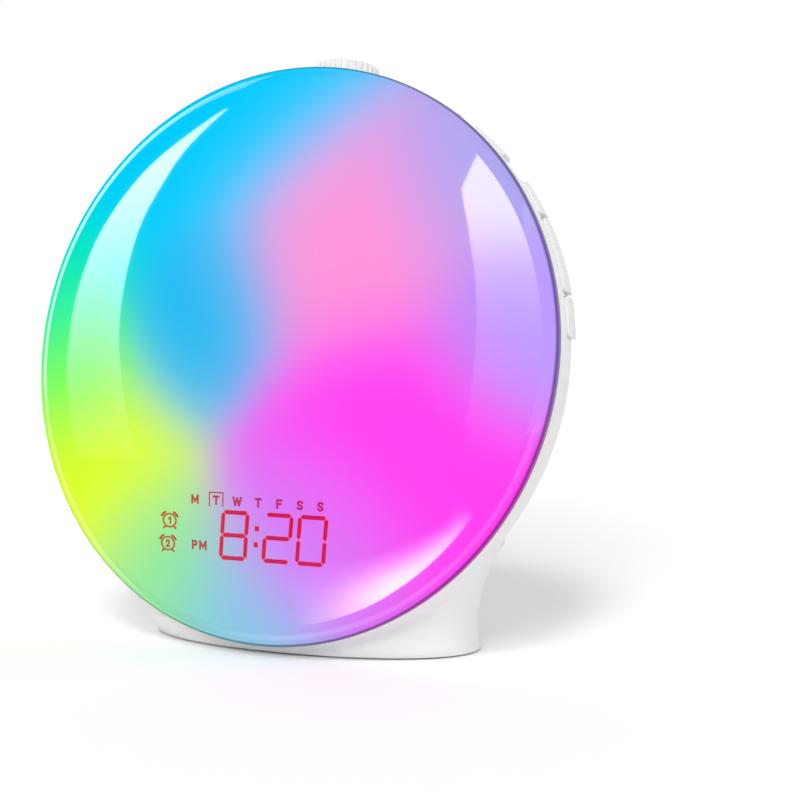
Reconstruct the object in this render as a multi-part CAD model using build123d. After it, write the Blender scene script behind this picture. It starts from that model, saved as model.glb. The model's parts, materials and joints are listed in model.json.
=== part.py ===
from build123d import *
import os
from math import acos, cos, degrees, radians, sin, sqrt

# Sunrise alarm clock: a round light head that leans back, on a flared pedestal.
# Millimetres, +X to the right, +Y to the back, +Z up. The origin is on the table, under the middle
# of the clock's bounding box.
# The head is drawn in its own frame and then leaned back: local x to the right, local y up the face,
# local z out of the face. "h" is the local z of the head, r a radius about the head's axis, and
# clock angles run clockwise from the top of the face.

# ---- driving dimensions ----
LENS_R = 86.0            # outer radius of the diffuser's lip
LENS_APEX = 15.5         # height of the dome above the plane of its lip
CREASE_R = 81.5          # circle where the dome breaks into its rolled edge
CREASE_H = 2.9
ROLL_MID = (83.6, 1.7)   # radius and height half way down the rolled edge
LENS_T = 2.0             # wall of the diffuser
LIP_T = 1.6
LIP_IN_R = 85.3
TILT = 10.56             # degrees that the face leans back
HEAD_Z = 88.3            # centre of the lip above the table

DRUM_R = 85.4            # housing just behind the lip
DRUM_DEPTH = 54.0        # depth of the half ellipse behind the drum's straight part
DRUM_STRAIGHT_H = -5.0   # where the half ellipse starts
DRUM_FRONT_H = -2.2      # front edge of the housing
DRUM_BACK_H = -52.0      # flat back of the housing
WALL = 2.2
GASKET_R = (83.4, 84.9)

BASE_W = 53.4            # half width of the pedestal at the table
BASE_B = 27.0            # half depth of the pedestal at the table
BASE_Z = 0.6             # lower edge of the pedestal
BASE_TOP_Z = 52.0        # where the pedestal ends, inside the head
FLARE = 0.047            # growth of the half width above FLARE_Z, to the power FLARE_P
FLARE_Z = 9.0
FLARE_P = 1.6

KEY_H = -12.5            # middle of the row of keys
KEY_W = 7.8              # width of a key across the row
KEY_TOP_R = 86.0         # crown of the keys
KEY_SPANS = {"key_1": (22.9, 31.8), "key_2": (36.8, 45.5), "key_3": (52.3, 60.0), "key_5": (77.1, 84.8)}
ROCKER_SPAN = (60.9, 76.1)
KEY_GAP = 0.3            # round a key in its slot
KEY_TRAVEL = 0.6
KEY_FLOOR_R = 80.0       # where the slots of the keys start, inside the wall
KEY_CORNER = 1.6
KEY_CROWN = 0.35         # how far a key's front edge lies below its crown
KEY_REAR_DROP = 1.25     # and its rear edge
ROCKER_PIVOT_R = 79.4
ROCKER_WEB = (77.6, 82.5)

DIAL_R = 9.9
DIAL_RIBS = 29
DIAL_H = -24.5           # axis of the dial, behind the lip
DIAL_BOTTOM = 85.6       # local y of the dial's lower and upper face
DIAL_TOP = 92.8
DIAL_TRAVEL = 0.5
BOSS_R = 12.6
BOSS_TOP = 84.0

BOARD_T = 1.6            # every circuit board
LED_BOARD_R = 66.0
LED_BOARD_H = -13.0      # its front face
MAIN_BOARD_H = -22.4
MAIN_BOARD = (100.0, 64.0)
REFLECTOR_TOP_R = 80.2
REFLECTOR_TOP_H = -2.6
SPEAKER_R = 25.0
SPEAKER_PLATE_H = -42.0  # back plate of its frame, where the magnet sits
SPEAKER_SCREW_R = 0.6
PANEL_R = 41.4           # flange of the rear panel
PANEL_T = 2.2
PANEL_OPEN_R = 37.0      # opening that its spigot enters
SPIGOT_R = 36.8
PANEL_POST_R = 39.2      # screws of the rear panel
PANEL_EDGE = 0.8         # its chamfer
SEAT_DEPTH = 0.9         # how far a screw's head sits below the face
HOLE_R = 1.6             # clearance hole of a 3 mm screw
LUG_R = 3.0
LED_POSTS = (40.0, 38.0)
MAIN_POSTS = (45.0, 27.0)
BASE_POSTS = (40.0, 10.0)
BASE_POST_R = 3.6

NECK_Z = 33.0            # level above which the pedestal draws in, inside the head
SECTION_POINTS = 32
PLATE_Z = 0.8            # lower and upper face of the base plate
BASE_PLATE_TOP = 2.6
SCREW_CORE = 1.2         # pilot hole of a 3 mm screw
KEY_BOARD_H = -14.4
KEY_POST_R = 69.5
KEY_POST_ANGLES = (35.0, 81.0)
KEY_BOARD_R = (66.8, 76.0)
SWITCH_R = 74.6          # middle of the switches behind the keys
PLUNGER_TAIL_R = 74.9
ROCKER_GAP = 0.5
ROCKER_EARS = ((-8.2, -6.6), (-18.4, -16.8))
EAR_IN_R = 77.4
EAR_OUT_R = 84.0
PANEL_LUG_TOP_H = -43.0
LEAD_HOLE = (0, -66, -33, 12, 14, 5)     # way for leads from the head down into the pedestal
PIN_R = 0.8
KEY_FOOT_R = 79.0        # inner face of the keys, on the switch's plunger
KEY_FLANGE_R = 80.3
ROCKER_FOOT_R = 81.0
ROCKER_TIP_R = 80.3
ROCKER_SWITCH_DEG = 5.2
PLUNGER_R = 1.2

BUSH_R = 3.5
BUSH = (81.8, 86.6)      # local y of the threaded bush's ends
SHAFT_R = 3.0
SHAFT_TAIL = 77.2
DIAL_BORE_TOP = 90.6     # blind end of the dial's hub
DIAL_RIB_T = 0.45
DIAL_RIB_R = 0.6

GRILLE_PITCH = 4.4
GRILLE_HOLES = (6, 12, 18, 24)
GRILLE_HOLE_R = 1.0
INLET_Y = -29.5

FEET = [(28 * side, 12 * back - 1) for side in (-1, 1) for back in (-1, 1)]
FOOT_R = 4.0
FOOT_SEAT_Z = 1.6
CELL_Y = 10.0
CELL_Z = 3.6
DOOR = (26.0, 24.0)
DOOR_SCREW_DY = 9.8
DOOR_SCREW_Z = 1.4       # seat of its head

LED_RINGS = ((52.0, 12), (28.0, 6))
RIBBON_X = 10.0
RIBBON_SLOT_Y = -35.6

DISPLAY_X = -4.0
DISPLAY_W = 58.0
DISPLAY_TOP_Y = -41.5
DISPLAY_LOW_Y = -64.0
DISPLAY_BOARD_H = -3.0
MASK_TOP_H = 3.2
DIGIT_TOP_Y = -48.1      # middle line of the top segment
DIGIT_LOW_Y = -61.4
DIGIT_W = 8.35           # between the middle lines of the upright segments
SEGMENT_W = 1.15
DIGITS = ((-6.9, "abcdefg"), (7.4, "abged"), (18.5, "abcdef"))
COLON_X = 0.25
COLON_Y = (-52.4, -57.1)
DAY_X = [-21 + 7 * n for n in range(7)]
DAY_Y = -44.8
MERIDIEM = (-18.4, -58.1)
ALARM_X = -29.0
ALARM_Y = (-51.6, -58.3)

tilt_cos = cos(radians(TILT))
tilt_sin = sin(radians(TILT))

# ---- where the head stands: the box's front is the dome, its back the rear panel's top edge ----
dome_radius = (CREASE_R**2 + (LENS_APEX - CREASE_H)**2) / (2 * (LENS_APEX - CREASE_H))
panel_back_h = DRUM_BACK_H - PANEL_T
front_reach = (LENS_APEX - dome_radius) * tilt_cos + dome_radius
back_reach = -panel_back_h * tilt_cos + PANEL_R * tilt_sin
HEAD_Y = (front_reach - back_reach) / 2
HEAD = Plane(origin=(0, HEAD_Y, HEAD_Z), x_dir=(1, 0, 0), z_dir=(0, -tilt_cos, tilt_sin))
BASE_Y = HEAD_Y + 19.4   # middle of the pedestal

parts = {}


def in_head(shape):
    """Place a shape drawn in the head's local frame."""
    return shape.moved(HEAD.location)


def dome_h(r, drop=0.0):
    """Height of the dome's outer face at radius r, or of a face that lies drop below it."""
    ball = dome_radius - drop
    return LENS_APEX - dome_radius + sqrt(ball**2 - r**2)


def bowl_r(h, wall=0.0):
    """Radius of the drum at h; wall is how far inside the outer face."""
    ratio = min(0.0, h - DRUM_STRAIGHT_H) / (DRUM_DEPTH - wall)
    return (DRUM_R - wall) * sqrt(1 - ratio**2)


def bowl_h(r, wall=0.0):
    """Height at which the bowl's face has radius r."""
    return DRUM_STRAIGHT_H - (DRUM_DEPTH - wall) * sqrt(1 - (r / (DRUM_R - wall))**2)


def ring(r_in, r_out, h_low, h_high):
    """A plain ring about the head's axis."""
    blank = Pos(0, 0, h_low) * Cylinder(r_out, h_high - h_low, align=(Align.CENTER, Align.CENTER, Align.MIN))
    if r_in == 0:
        return blank
    return blank - Pos(0, 0, h_low) * Cylinder(
        r_in, h_high - h_low, align=(Align.CENTER, Align.CENTER, Align.MIN))


def post(x, y, h_low, h_high, r_out, r_in=0.0):
    """A round post or hole along the head's axis at x, y."""
    return Pos(x, y, 0) * ring(r_in, r_out, h_low, h_high)


def block(x, y, h, width, height, depth):
    """A box centred at x, y, h of the head."""
    return Pos(x, y, h) * Box(width, height, depth)


def sector(r_in, r_out, h_low, h_high, start, end):
    """A piece of a ring between two clock angles."""
    middle = Pos((r_in + r_out) / 2, (h_low + h_high) / 2)
    profile = Plane.XZ * (middle * Rectangle(r_out - r_in, h_high - h_low))
    return Rot(0, 0, 90 - end) * revolve(profile, axis=Axis.Z, revolution_arc=end - start)


def at_clock(shape, angle):
    """Turn a shape drawn along local x so that it points to a clock angle."""
    return Rot(0, 0, 90 - angle) * shape


def on_dial(shape):
    """Place a shape drawn along +Z on the dial's axis, with z counted as local y."""
    return Pos(0, 0, DIAL_H) * Rot(-90, 0, 0) * shape


def bore(radius, low, high):
    return Pos(0, 0, low) * Cylinder(radius, high - low, align=(Align.CENTER, Align.CENTER, Align.MIN))


# ---- diffuser ----
def front_diffuser():
    inner_r = CREASE_R - 1.3
    skirt = (81.2, 82.9)
    skirt_low = -6.0
    outline = Curve() + [
        Line((0, dome_h(0, LENS_T)), (0, LENS_APEX)),
        ThreePointArc((0, LENS_APEX), (CREASE_R / 2, dome_h(CREASE_R / 2)), (CREASE_R, CREASE_H)),
        ThreePointArc((CREASE_R, CREASE_H), ROLL_MID, (LIP_IN_R, 0)),
        Polyline((LIP_IN_R, 0), (LENS_R, 0), (LENS_R, -LIP_T), (skirt[1], -LIP_T), (skirt[1], skirt_low),
                 (skirt[0], skirt_low), (skirt[0], 0.4)),
        Line((skirt[0], 0.4), (inner_r, dome_h(inner_r, LENS_T))),
        ThreePointArc((inner_r, dome_h(inner_r, LENS_T)), (inner_r / 2, dome_h(inner_r / 2, LENS_T)),
                      (0, dome_h(0, LENS_T))),
    ]
    return revolve(Plane.XZ * make_face(outline), axis=Axis.Z)


# ---- housing ----
def bowl(wall=0.0, back=DRUM_BACK_H):
    """The drum's solid form, or the cavity inside it."""
    radius = DRUM_R - wall
    back_r = bowl_r(back, wall)
    sweep = degrees(acos(back_r / radius))
    front = DRUM_FRONT_H if wall == 0 else 5.0
    outline = Curve() + [
        Polyline((0, back), (0, front), (radius, front), (radius, DRUM_STRAIGHT_H)),
        EllipticalCenterArc((0, DRUM_STRAIGHT_H), radius, DRUM_DEPTH - wall,
                            start_angle=-sweep, arc_size=sweep),
        Line((back_r, back), (0, back)),
    ]
    return revolve(Plane.XZ * make_face(outline), axis=Axis.Z)


def pedestal_half_width(z):
    return BASE_W - 0.8 * min(1.0, z / 8) + FLARE * max(0.0, z - FLARE_Z)**FLARE_P


def pedestal_section(z, wall):
    """One level of the pedestal: squarer corners at the front, an ellipse at the back."""
    inward = max(0.0, z - NECK_Z)
    width = pedestal_half_width(min(z, NECK_Z)) - 0.9 * inward - wall
    front = BASE_B - z * tilt_sin / tilt_cos - wall
    back = BASE_B - 0.7 * inward - wall
    power = 2 / (2.0 + 1.4 * min(1.0, z / 7))
    points = []
    for step in range(SECTION_POINTS):
        angle = radians((step + 0.5) * 360 / SECTION_POINTS)
        across, along = cos(angle), sin(angle)
        side = 1 if across > 0 else -1
        if along < 0:
            points.append((width * side * abs(across)**power, BASE_Y - front * abs(along)**power, z))
        else:
            points.append((width * across, BASE_Y + back * along, z))
    return Wire(Edge.make_spline([Vector(*point) for point in points], periodic=True))


def pedestal(wall=0.0):
    levels = [BASE_Z, 4.0, 8.0, 13.0, 19.0, 26.0, NECK_Z, 38.0, 45.0, BASE_TOP_Z]
    return Solid.make_loft([pedestal_section(z, wall) for z in levels])


def dial_boss(radius, low):
    return in_head(on_dial(bore(radius, low, BOSS_TOP)))


def key_slot(start, end, gap):
    extra = degrees(gap / KEY_TOP_R)
    half = KEY_W / 2 + gap
    return sector(KEY_FLOOR_R, KEY_TOP_R + 4, KEY_H - half, KEY_H + half, start - extra, end + extra)


def four_corners(x, y, middle_y=0.0):
    return [(x * side, middle_y + y * up) for side in (-1, 1) for up in (-1, 1)]


def four_diagonal(radius):
    """Four places on a circle, half way between its upright and level diameters."""
    return [(radius * cos(radians(45 + 90 * n)), radius * sin(radians(45 + 90 * n))) for n in range(4)]


def led_posts():
    return four_corners(*LED_POSTS)


def main_posts():
    return four_corners(*MAIN_POSTS)


def panel_posts():
    return four_diagonal(PANEL_POST_R)


def base_posts():
    return four_corners(*BASE_POSTS, BASE_Y)


def key_board_posts():
    return [(KEY_POST_R, angle) for angle in KEY_POST_ANGLES]


def lug(x, y, top, bore_r):
    """A screw post that grows from inside the bowl's wall up to a board."""
    root = bowl_h(sqrt(x * x + y * y), WALL) - 1.5
    return post(x, y, root, top, LUG_R, bore_r)


def main_housing():
    cavity = bowl(WALL, DRUM_BACK_H + WALL)
    boss_low = 60.0
    post_top = 30.0
    shell = in_head(bowl()) + pedestal()
    shell += dial_boss(BOSS_R, boss_low)
    for x, y in base_posts():
        shell += Pos(x, y, 0) * bore(BASE_POST_R, BASE_PLATE_TOP, post_top)
    foot_room = pedestal(WALL) - in_head(bowl())
    for x, y in base_posts():
        foot_room -= Pos(x, y, 0) * bore(BASE_POST_R, BASE_PLATE_TOP, post_top)
    shell -= foot_room
    shell -= in_head(cavity)
    boss_roof = in_head(on_dial(bore(BOSS_R, BOSS_TOP - WALL, BOSS_TOP)))
    shell -= dial_boss(BOSS_R - WALL, boss_low) - boss_roof

    lugs = [lug(x, y, LED_BOARD_H - BOARD_T, SCREW_CORE) for x, y in led_posts()]
    lugs += [lug(x, y, MAIN_BOARD_H - BOARD_T, SCREW_CORE) for x, y in main_posts()]
    lugs += [post(x, y, DRUM_BACK_H + WALL / 2, PANEL_LUG_TOP_H, LUG_R) for x, y in panel_posts()]
    for radius, angle in key_board_posts():
        stand = lug(radius, 0, KEY_BOARD_H - BOARD_T, SCREW_CORE)
        lugs.append(at_clock(stand, angle))
    pivot_angle = sum(ROCKER_SPAN) / 2
    for low, high in ROCKER_EARS:
        ear = block((EAR_IN_R + EAR_OUT_R) / 2, 0, (low + high) / 2, EAR_OUT_R - EAR_IN_R, 6, high - low)
        lugs.append(at_clock(ear, pivot_angle))
    for piece in lugs:
        shell += in_head(piece & bowl())

    shell -= in_head(ring(0, PANEL_OPEN_R, DRUM_BACK_H - 1, DRUM_BACK_H + 4))
    for x, y in panel_posts():
        shell -= in_head(post(x, y, DRUM_BACK_H - 1, PANEL_LUG_TOP_H - 1.5, SCREW_CORE))
    for x, y in base_posts():
        shell -= Pos(x, y, 0) * bore(SCREW_CORE, 0, 11.0)
    shell -= in_head(at_clock(post(ROCKER_PIVOT_R, 0, -20, -6, PIN_R), pivot_angle))
    for start, end in KEY_SPANS.values():
        shell -= in_head(key_slot(start, end, KEY_GAP))
    shell -= in_head(key_slot(*ROCKER_SPAN, ROCKER_GAP))
    shell -= in_head(on_dial(bore(BUSH_R + 0.15, 70, 90)))
    shell -= in_head(block(*LEAD_HOLE))
    return shell


def gasket_tape():
    """Black foam tape between the diffuser's lip and the housing's front edge."""
    return ring(*GASKET_R, DRUM_FRONT_H, -LIP_T)


def screw(length, head_r, head_t, shank_r):
    """A pan-head screw along +Z, its head's underside at z = 0 and its shank below."""
    head = bore(head_r, 0, head_t)
    head = fillet(head.edges().group_by(Axis.Z)[-1], head_t * 0.35)
    cross = Pos(0, 0, head_t) * (Box(head_r * 1.1, 0.5, head_t) + Box(0.5, head_r * 1.1, head_t))
    return head + bore(shank_r, -length, 0) - cross


# ---- rear panel, base and their fasteners ----
def rear_panel():
    disc = ring(0, PANEL_R, panel_back_h, DRUM_BACK_H)
    disc = chamfer(disc.edges().group_by(Axis.Z)[0], PANEL_EDGE)
    disc += ring(SPIGOT_R - 1.6, SPIGOT_R, DRUM_BACK_H, DRUM_BACK_H + 3)
    for row, count in enumerate(GRILLE_HOLES, start=1):
        for n in range(count):
            angle = radians(360 * n / count)
            radius = row * GRILLE_PITCH
            disc -= post(radius * cos(angle), radius * sin(angle), panel_back_h, DRUM_BACK_H, GRILLE_HOLE_R)
    disc -= post(0, 0, panel_back_h, DRUM_BACK_H, GRILLE_HOLE_R)
    for x, y in panel_posts():
        disc -= post(x, y, panel_back_h, DRUM_BACK_H, HOLE_R)
        disc -= post(x, y, panel_back_h, panel_back_h + SEAT_DEPTH, 2.9)
    disc -= block(0, INLET_Y, DRUM_BACK_H, 8.2, 3.2, 8)
    for side in (-1, 1):
        disc += block(7.6 * side, INLET_Y - 2.2, DRUM_BACK_H + 4.2, 1.2, 5.0, 8.4)
    for x, y in speaker_screw_places():
        disc -= post(x, y, DRUM_BACK_H - 1, DRUM_BACK_H + 1, SPEAKER_SCREW_R)
    return disc


def rear_screws():
    one = Rot(180, 0, 0) * screw(7.0, 2.6, 1.2, SCREW_CORE)
    return [Pos(x, y, panel_back_h + SEAT_DEPTH) * one for x, y in panel_posts()]


def base_plate():
    gap = WALL + 0.3
    plate = Solid.make_loft([pedestal_section(PLATE_Z, gap), pedestal_section(BASE_PLATE_TOP, gap)])
    for x, y in base_posts():
        plate -= Pos(x, y, 0) * bore(HOLE_R, 0, 5)
        plate -= Pos(x, y, 0) * bore(3.0, 0, PLATE_Z + SEAT_DEPTH)
    for x, y in FEET:
        plate -= Pos(x, y, 0) * bore(FOOT_R + 0.1, 0, FOOT_SEAT_Z)
    plate -= Pos(0, CELL_Y, 2) * Box(DOOR[0] + 0.4, DOOR[1] + 0.4, 10)
    plate += Pos(0, CELL_Y + DOOR[1] / 2 - 1.8, BASE_PLATE_TOP - 0.25) * Box(16, 4.4, 0.5)
    return plate - Pos(0, CELL_Y + DOOR_SCREW_DY, 0) * bore(0.9, 0, 5)


def base_screws():
    one = Rot(180, 0, 0) * screw(7.5, 2.6, 1.2, SCREW_CORE)
    return [Pos(x, y, PLATE_Z + SEAT_DEPTH) * one for x, y in base_posts()]


def rubber_feet():
    feet = []
    for x, y in FEET:
        foot = Pos(x, y, 0) * bore(FOOT_R, 0, FOOT_SEAT_Z)
        feet.append(fillet(foot.edges().group_by(Axis.Z)[0], 0.25))
    return feet


def battery_door():
    door = Pos(0, CELL_Y, PLATE_Z + 0.6) * Box(DOOR[0], DOOR[1], 1.2)
    door += Pos(0, CELL_Y - DOOR[1] / 2 - 0.6, BASE_PLATE_TOP + 0.45) * Box(10, 3.0, 0.8)
    door += Pos(0, CELL_Y - DOOR[1] / 2 + 0.9, 2.4) * Box(10, 1.8, 1.7)
    door -= Pos(0, CELL_Y + DOOR_SCREW_DY, 0) * (bore(1.1, 0, 5) + bore(2.1, 0, DOOR_SCREW_Z))
    return door


def battery_door_screw():
    return Pos(0, CELL_Y + DOOR_SCREW_DY, DOOR_SCREW_Z) * (Rot(180, 0, 0) * screw(1.9, 1.8, 0.5, 0.9))


def coin_cell():
    can = Pos(0, CELL_Y, 0) * bore(10.0, CELL_Z, CELL_Z + 3.2)
    return fillet(can.edges().group_by(Axis.Z)[0], 0.4)


def cell_holder():
    """Moulded cup over the cell, on two legs that stand on the base plate."""
    cup = Pos(0, CELL_Y, 0) * bore(11.4, CELL_Z, CELL_Z + 4.4)
    for side in (-1, 1):
        cup += Pos(side * 12.6, CELL_Y, (BASE_PLATE_TOP + CELL_Z + 4.4) / 2) * Box(
            5.0, 6.0, CELL_Z + 4.4 - BASE_PLATE_TOP)
    cup -= Pos(0, CELL_Y, 0) * bore(10.2, 0, CELL_Z + 3.2)
    door_room = DOOR[0] / 2 + 0.3
    return cup - Pos(0, CELL_Y, BASE_PLATE_TOP) * Box(2 * door_room, DOOR[1] + 0.6, 1.6)


# ---- light engine ----
def reflector_bowl():
    profile = Polyline((LED_BOARD_R - 1.5, LED_BOARD_H), (REFLECTOR_TOP_R, REFLECTOR_TOP_H),
                       (REFLECTOR_TOP_R, REFLECTOR_TOP_H - 1.4), (LED_BOARD_R + 0.6, LED_BOARD_H - 0.6),
                       (LED_BOARD_R + 0.6, LED_BOARD_H - BOARD_T), (LED_BOARD_R + 0.1, LED_BOARD_H - BOARD_T),
                       (LED_BOARD_R + 0.1, LED_BOARD_H), close=True)
    return revolve(Plane.XZ * make_face(profile), axis=Axis.Z)


def led_board():
    disc = ring(0, LED_BOARD_R, LED_BOARD_H - BOARD_T, LED_BOARD_H)
    for x, y in led_posts():
        disc -= post(x, y, LED_BOARD_H - BOARD_T, LED_BOARD_H, HOLE_R)
    disc -= block(RIBBON_X, RIBBON_SLOT_Y, LED_BOARD_H - BOARD_T / 2, 16, 5, 4)
    return disc


def rgb_leds():
    """Square lamps in two rings, each with its lens window; those behind the display are left out."""
    lamps = []
    for radius, count in LED_RINGS:
        for n in range(count):
            angle = radians(90 - 360 * n / count)
            x, y = radius * cos(angle), radius * sin(angle)
            if y < DISPLAY_TOP_Y + 4 and abs(x - DISPLAY_X) < DISPLAY_W / 2 + 4:
                continue
            lamp = block(x, y, LED_BOARD_H + 0.8, 5.0, 5.0, 1.6)
            lamps.append(lamp - post(x, y, LED_BOARD_H + 1.2, LED_BOARD_H + 2, 1.9))
    return lamps


def led_board_screws():
    one = screw(6.0, 2.6, 1.4, SCREW_CORE)
    return [Pos(x, y, LED_BOARD_H) * one for x, y in led_posts()]


# ---- display ----
def bar(x0, y0, x1, y1, width, low, high):
    """A straight light bar with rounded ends between two points of the face."""
    length = sqrt((x1 - x0)**2 + (y1 - y0)**2)
    heading = degrees(acos((x1 - x0) / length)) * (1 if y1 >= y0 else -1)
    flat = Pos((x0 + x1) / 2, (y0 + y1) / 2) * Rot(0, 0, heading) * SlotOverall(length, width)
    return Pos(0, 0, low) * extrude(flat, high - low)


def digit(x, lit, low, high):
    """Seven-segment figure: a top, b and c right, d bottom, e and f left, g middle."""
    left, right = x - DIGIT_W / 2, x + DIGIT_W / 2
    top, middle, bottom = DIGIT_TOP_Y, (DIGIT_TOP_Y + DIGIT_LOW_Y) / 2, DIGIT_LOW_Y
    inset = SEGMENT_W / 2 + 0.1
    lines = {
        "a": (left + inset, top, right - inset, top), "g": (left + inset, middle, right - inset, middle),
        "d": (left + inset, bottom, right - inset, bottom),
        "f": (left, middle + inset, left, top - inset), "b": (right, middle + inset, right, top - inset),
        "e": (left, bottom + inset, left, middle - inset),
        "c": (right, bottom + inset, right, middle - inset),
    }
    return [bar(*lines[name], SEGMENT_W, low, high) for name in lit]


def display_lights(low, high):
    """The lit figures: time, colon, weekday marks, morning or afternoon mark and two alarm marks."""
    lights = []
    for x, lit in DIGITS:
        lights += digit(x, lit, low, high)
    for y in COLON_Y:
        lights.append(block(COLON_X, y, (low + high) / 2, 1.3, 1.4, high - low))
    for x in DAY_X:
        lights.append(block(x, DAY_Y, (low + high) / 2, 2.4, 2.5, high - low))
    lights.append(block(MERIDIEM[0], MERIDIEM[1], (low + high) / 2, 5.2, 2.5, high - low))
    for y in ALARM_Y:
        lights.append(Pos(ALARM_X, y, 0) * bore(2.5, low, high))
    return lights


def display_segments():
    return display_lights(DISPLAY_BOARD_H, MASK_TOP_H)


def display_block(low, high):
    middle = (DISPLAY_TOP_Y + DISPLAY_LOW_Y) / 2
    return block(DISPLAY_X, middle, (low + high) / 2, DISPLAY_W, DISPLAY_TOP_Y - DISPLAY_LOW_Y, high - low)


def display_mask():
    """Dark block with one light channel for each figure."""
    mask = display_block(DISPLAY_BOARD_H, MASK_TOP_H)
    for light in display_lights(DISPLAY_BOARD_H, MASK_TOP_H):
        mask -= light
    return mask


def display_board():
    return display_block(DISPLAY_BOARD_H - BOARD_T, DISPLAY_BOARD_H)


def display_stands():
    """Four spacers that carry the display on the lamp board."""
    places = ((-26, DISPLAY_TOP_Y - 2.5), (26, DISPLAY_TOP_Y - 2.5),
              (-17, DISPLAY_LOW_Y + 5), (17, DISPLAY_LOW_Y + 5))
    return [post(DISPLAY_X + x, y, LED_BOARD_H, DISPLAY_BOARD_H - BOARD_T, 1.8) for x, y in places]


# ---- electronics ----
def main_board():
    board = block(0, 0, MAIN_BOARD_H - BOARD_T / 2, *MAIN_BOARD, BOARD_T)
    for x, y in main_posts():
        board -= post(x, y, MAIN_BOARD_H - BOARD_T, MAIN_BOARD_H, HOLE_R)
    return board


def main_board_screws():
    one = screw(6.0, 2.6, 1.4, SCREW_CORE)
    return [Pos(x, y, MAIN_BOARD_H) * one for x, y in main_posts()]


def main_board_parts():
    """Chips and sockets on the front, capacitors and coils on the back of the main board."""
    front, back = MAIN_BOARD_H, MAIN_BOARD_H - BOARD_T
    pieces = [block(-20, 8, front + 0.8, 12, 12, 1.6), block(12, 6, front + 0.6, 5, 8, 1.2),
              block(30, 12, front + 0.6, 6, 5, 1.2), block(-36, -14, front + 0.6, 8, 5, 1.2),
              block(RIBBON_X, -28, front + 1.2, 15, 4.5, 2.4), block(0, 29, front + 1.2, 12, 4.5, 2.4),
              block(38, -20, back - 1.75, 9, 6, 3.5)]
    for x, y, radius, height in ((-38, 12, 4.0, 9.0), (-38, -2, 3.2, 7.0), (38, 4, 3.2, 7.0)):
        pieces.append(post(x, y, back - height, back, radius))
    return pieces


def key_board():
    board = sector(*KEY_BOARD_R, KEY_BOARD_H - BOARD_T, KEY_BOARD_H, 19, 89)
    for radius, angle in key_board_posts():
        board -= at_clock(post(radius, 0, KEY_BOARD_H - BOARD_T, KEY_BOARD_H, 1.5), angle)
    return board


def key_board_screws():
    one = screw(5.0, 2.3, 1.2, SCREW_CORE)
    return [at_clock(Pos(radius, 0, KEY_BOARD_H) * one, angle) for radius, angle in key_board_posts()]


def switch_angles():
    middle = sum(ROCKER_SPAN) / 2
    singles = [sum(span) / 2 for span in KEY_SPANS.values()]
    return singles, [middle - ROCKER_SWITCH_DEG, middle + ROCKER_SWITCH_DEG]


def tact_switches():
    """One side-pressed switch behind each key and two behind the rocker."""
    singles, pairs = switch_angles()
    bodies = []
    for angle in singles + pairs:
        body = block(SWITCH_R, 0, KEY_BOARD_H + 1.75, 4.4, 6.2, 3.5)
        body -= outward(PLUNGER_R + 0.06, PLUNGER_TAIL_R - KEY_TRAVEL - 0.3, KEY_FOOT_R)
        bodies.append(at_clock(body, angle))
    for angle in pairs:
        bodies.append(at_clock(outward(PLUNGER_R, PLUNGER_TAIL_R - 0.4, ROCKER_TIP_R), angle))
    return bodies


def outward(radius, start, end):
    """A round bar along local x, level with the switches' plungers."""
    return Pos(0, 0, KEY_H - 0.15) * (Rot(0, 90, 0) * bore(radius, start, end))


def plunger(angle):
    return at_clock(outward(PLUNGER_R, PLUNGER_TAIL_R, KEY_FOOT_R - 0.02), angle)


# ---- keys ----
def crowned_cap(foot_r, start, end):
    """A key's visible part: a crown across the row and rounded corners seen from outside."""
    half = KEY_W / 2
    front_r, rear_r = KEY_TOP_R - KEY_CROWN, KEY_TOP_R - KEY_REAR_DROP
    outline = Curve() + [
        Polyline((front_r, KEY_H + half), (foot_r, KEY_H + half), (foot_r, KEY_H - half),
                 (rear_r, KEY_H - half)),
        ThreePointArc((rear_r, KEY_H - half), (KEY_TOP_R, KEY_H), (front_r, KEY_H + half)),
    ]
    cap = revolve(Plane.XZ * make_face(outline), axis=Axis.Z, revolution_arc=end - start)
    cap = Rot(0, 0, 90 - end) * cap
    straight = [edge for edge in cap.edges() if edge.geom_type == GeomType.LINE and edge.length > 3]
    return fillet([edge for edge in straight if abs((edge @ 1 - edge @ 0).Z) < 0.5], KEY_CORNER)


def key_cap(start, end):
    """A cap in its slot, with a wider flange inside the wall that keeps it in."""
    half = KEY_W / 2
    rim = degrees(0.7 / KEY_TOP_R)
    flange = sector(KEY_FOOT_R, KEY_FLANGE_R, KEY_H - half - 0.7, KEY_H + half + 0.9, start - rim, end + rim)
    return crowned_cap(KEY_FOOT_R, start, end) + flange


def rocker_key():
    """Long two-way key that tips about a pin behind the wall."""
    start, end = ROCKER_SPAN
    middle = (start + end) / 2
    low, high = ROCKER_WEB
    web = block((low + high) / 2, 0, KEY_H, high - low, 4.0, KEY_W)
    cap = crowned_cap(ROCKER_FOOT_R, start, end) + at_clock(web, middle)
    return cap - at_clock(post(ROCKER_PIVOT_R, 0, -20, -5, PIN_R + 0.06), middle)


def rocker_pin():
    low, high = ROCKER_EARS[1][0], ROCKER_EARS[0][1]
    return at_clock(post(ROCKER_PIVOT_R, 0, low, high, PIN_R), sum(ROCKER_SPAN) / 2)


# ---- dial ----
def encoder_body():
    body = block(0, 78.55, DIAL_H, 12.0, 6.5, 12.0)
    neck = on_dial(bore(BUSH_R, *BUSH))
    room = on_dial(bore(SHAFT_R + 0.05, SHAFT_TAIL - DIAL_TRAVEL - 0.7, 90))
    return body + neck - room


def encoder_nut():
    flat = RegularPolygon(5.0, 6, major_radius=False)
    nut = Pos(0, 0, BOSS_TOP) * extrude(flat, 1.6)
    return on_dial(nut - bore(BUSH_R, 80, 90))


def encoder_board():
    return block(0, 74.5, DIAL_H, 13.6, BOARD_T, 13.6)


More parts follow.
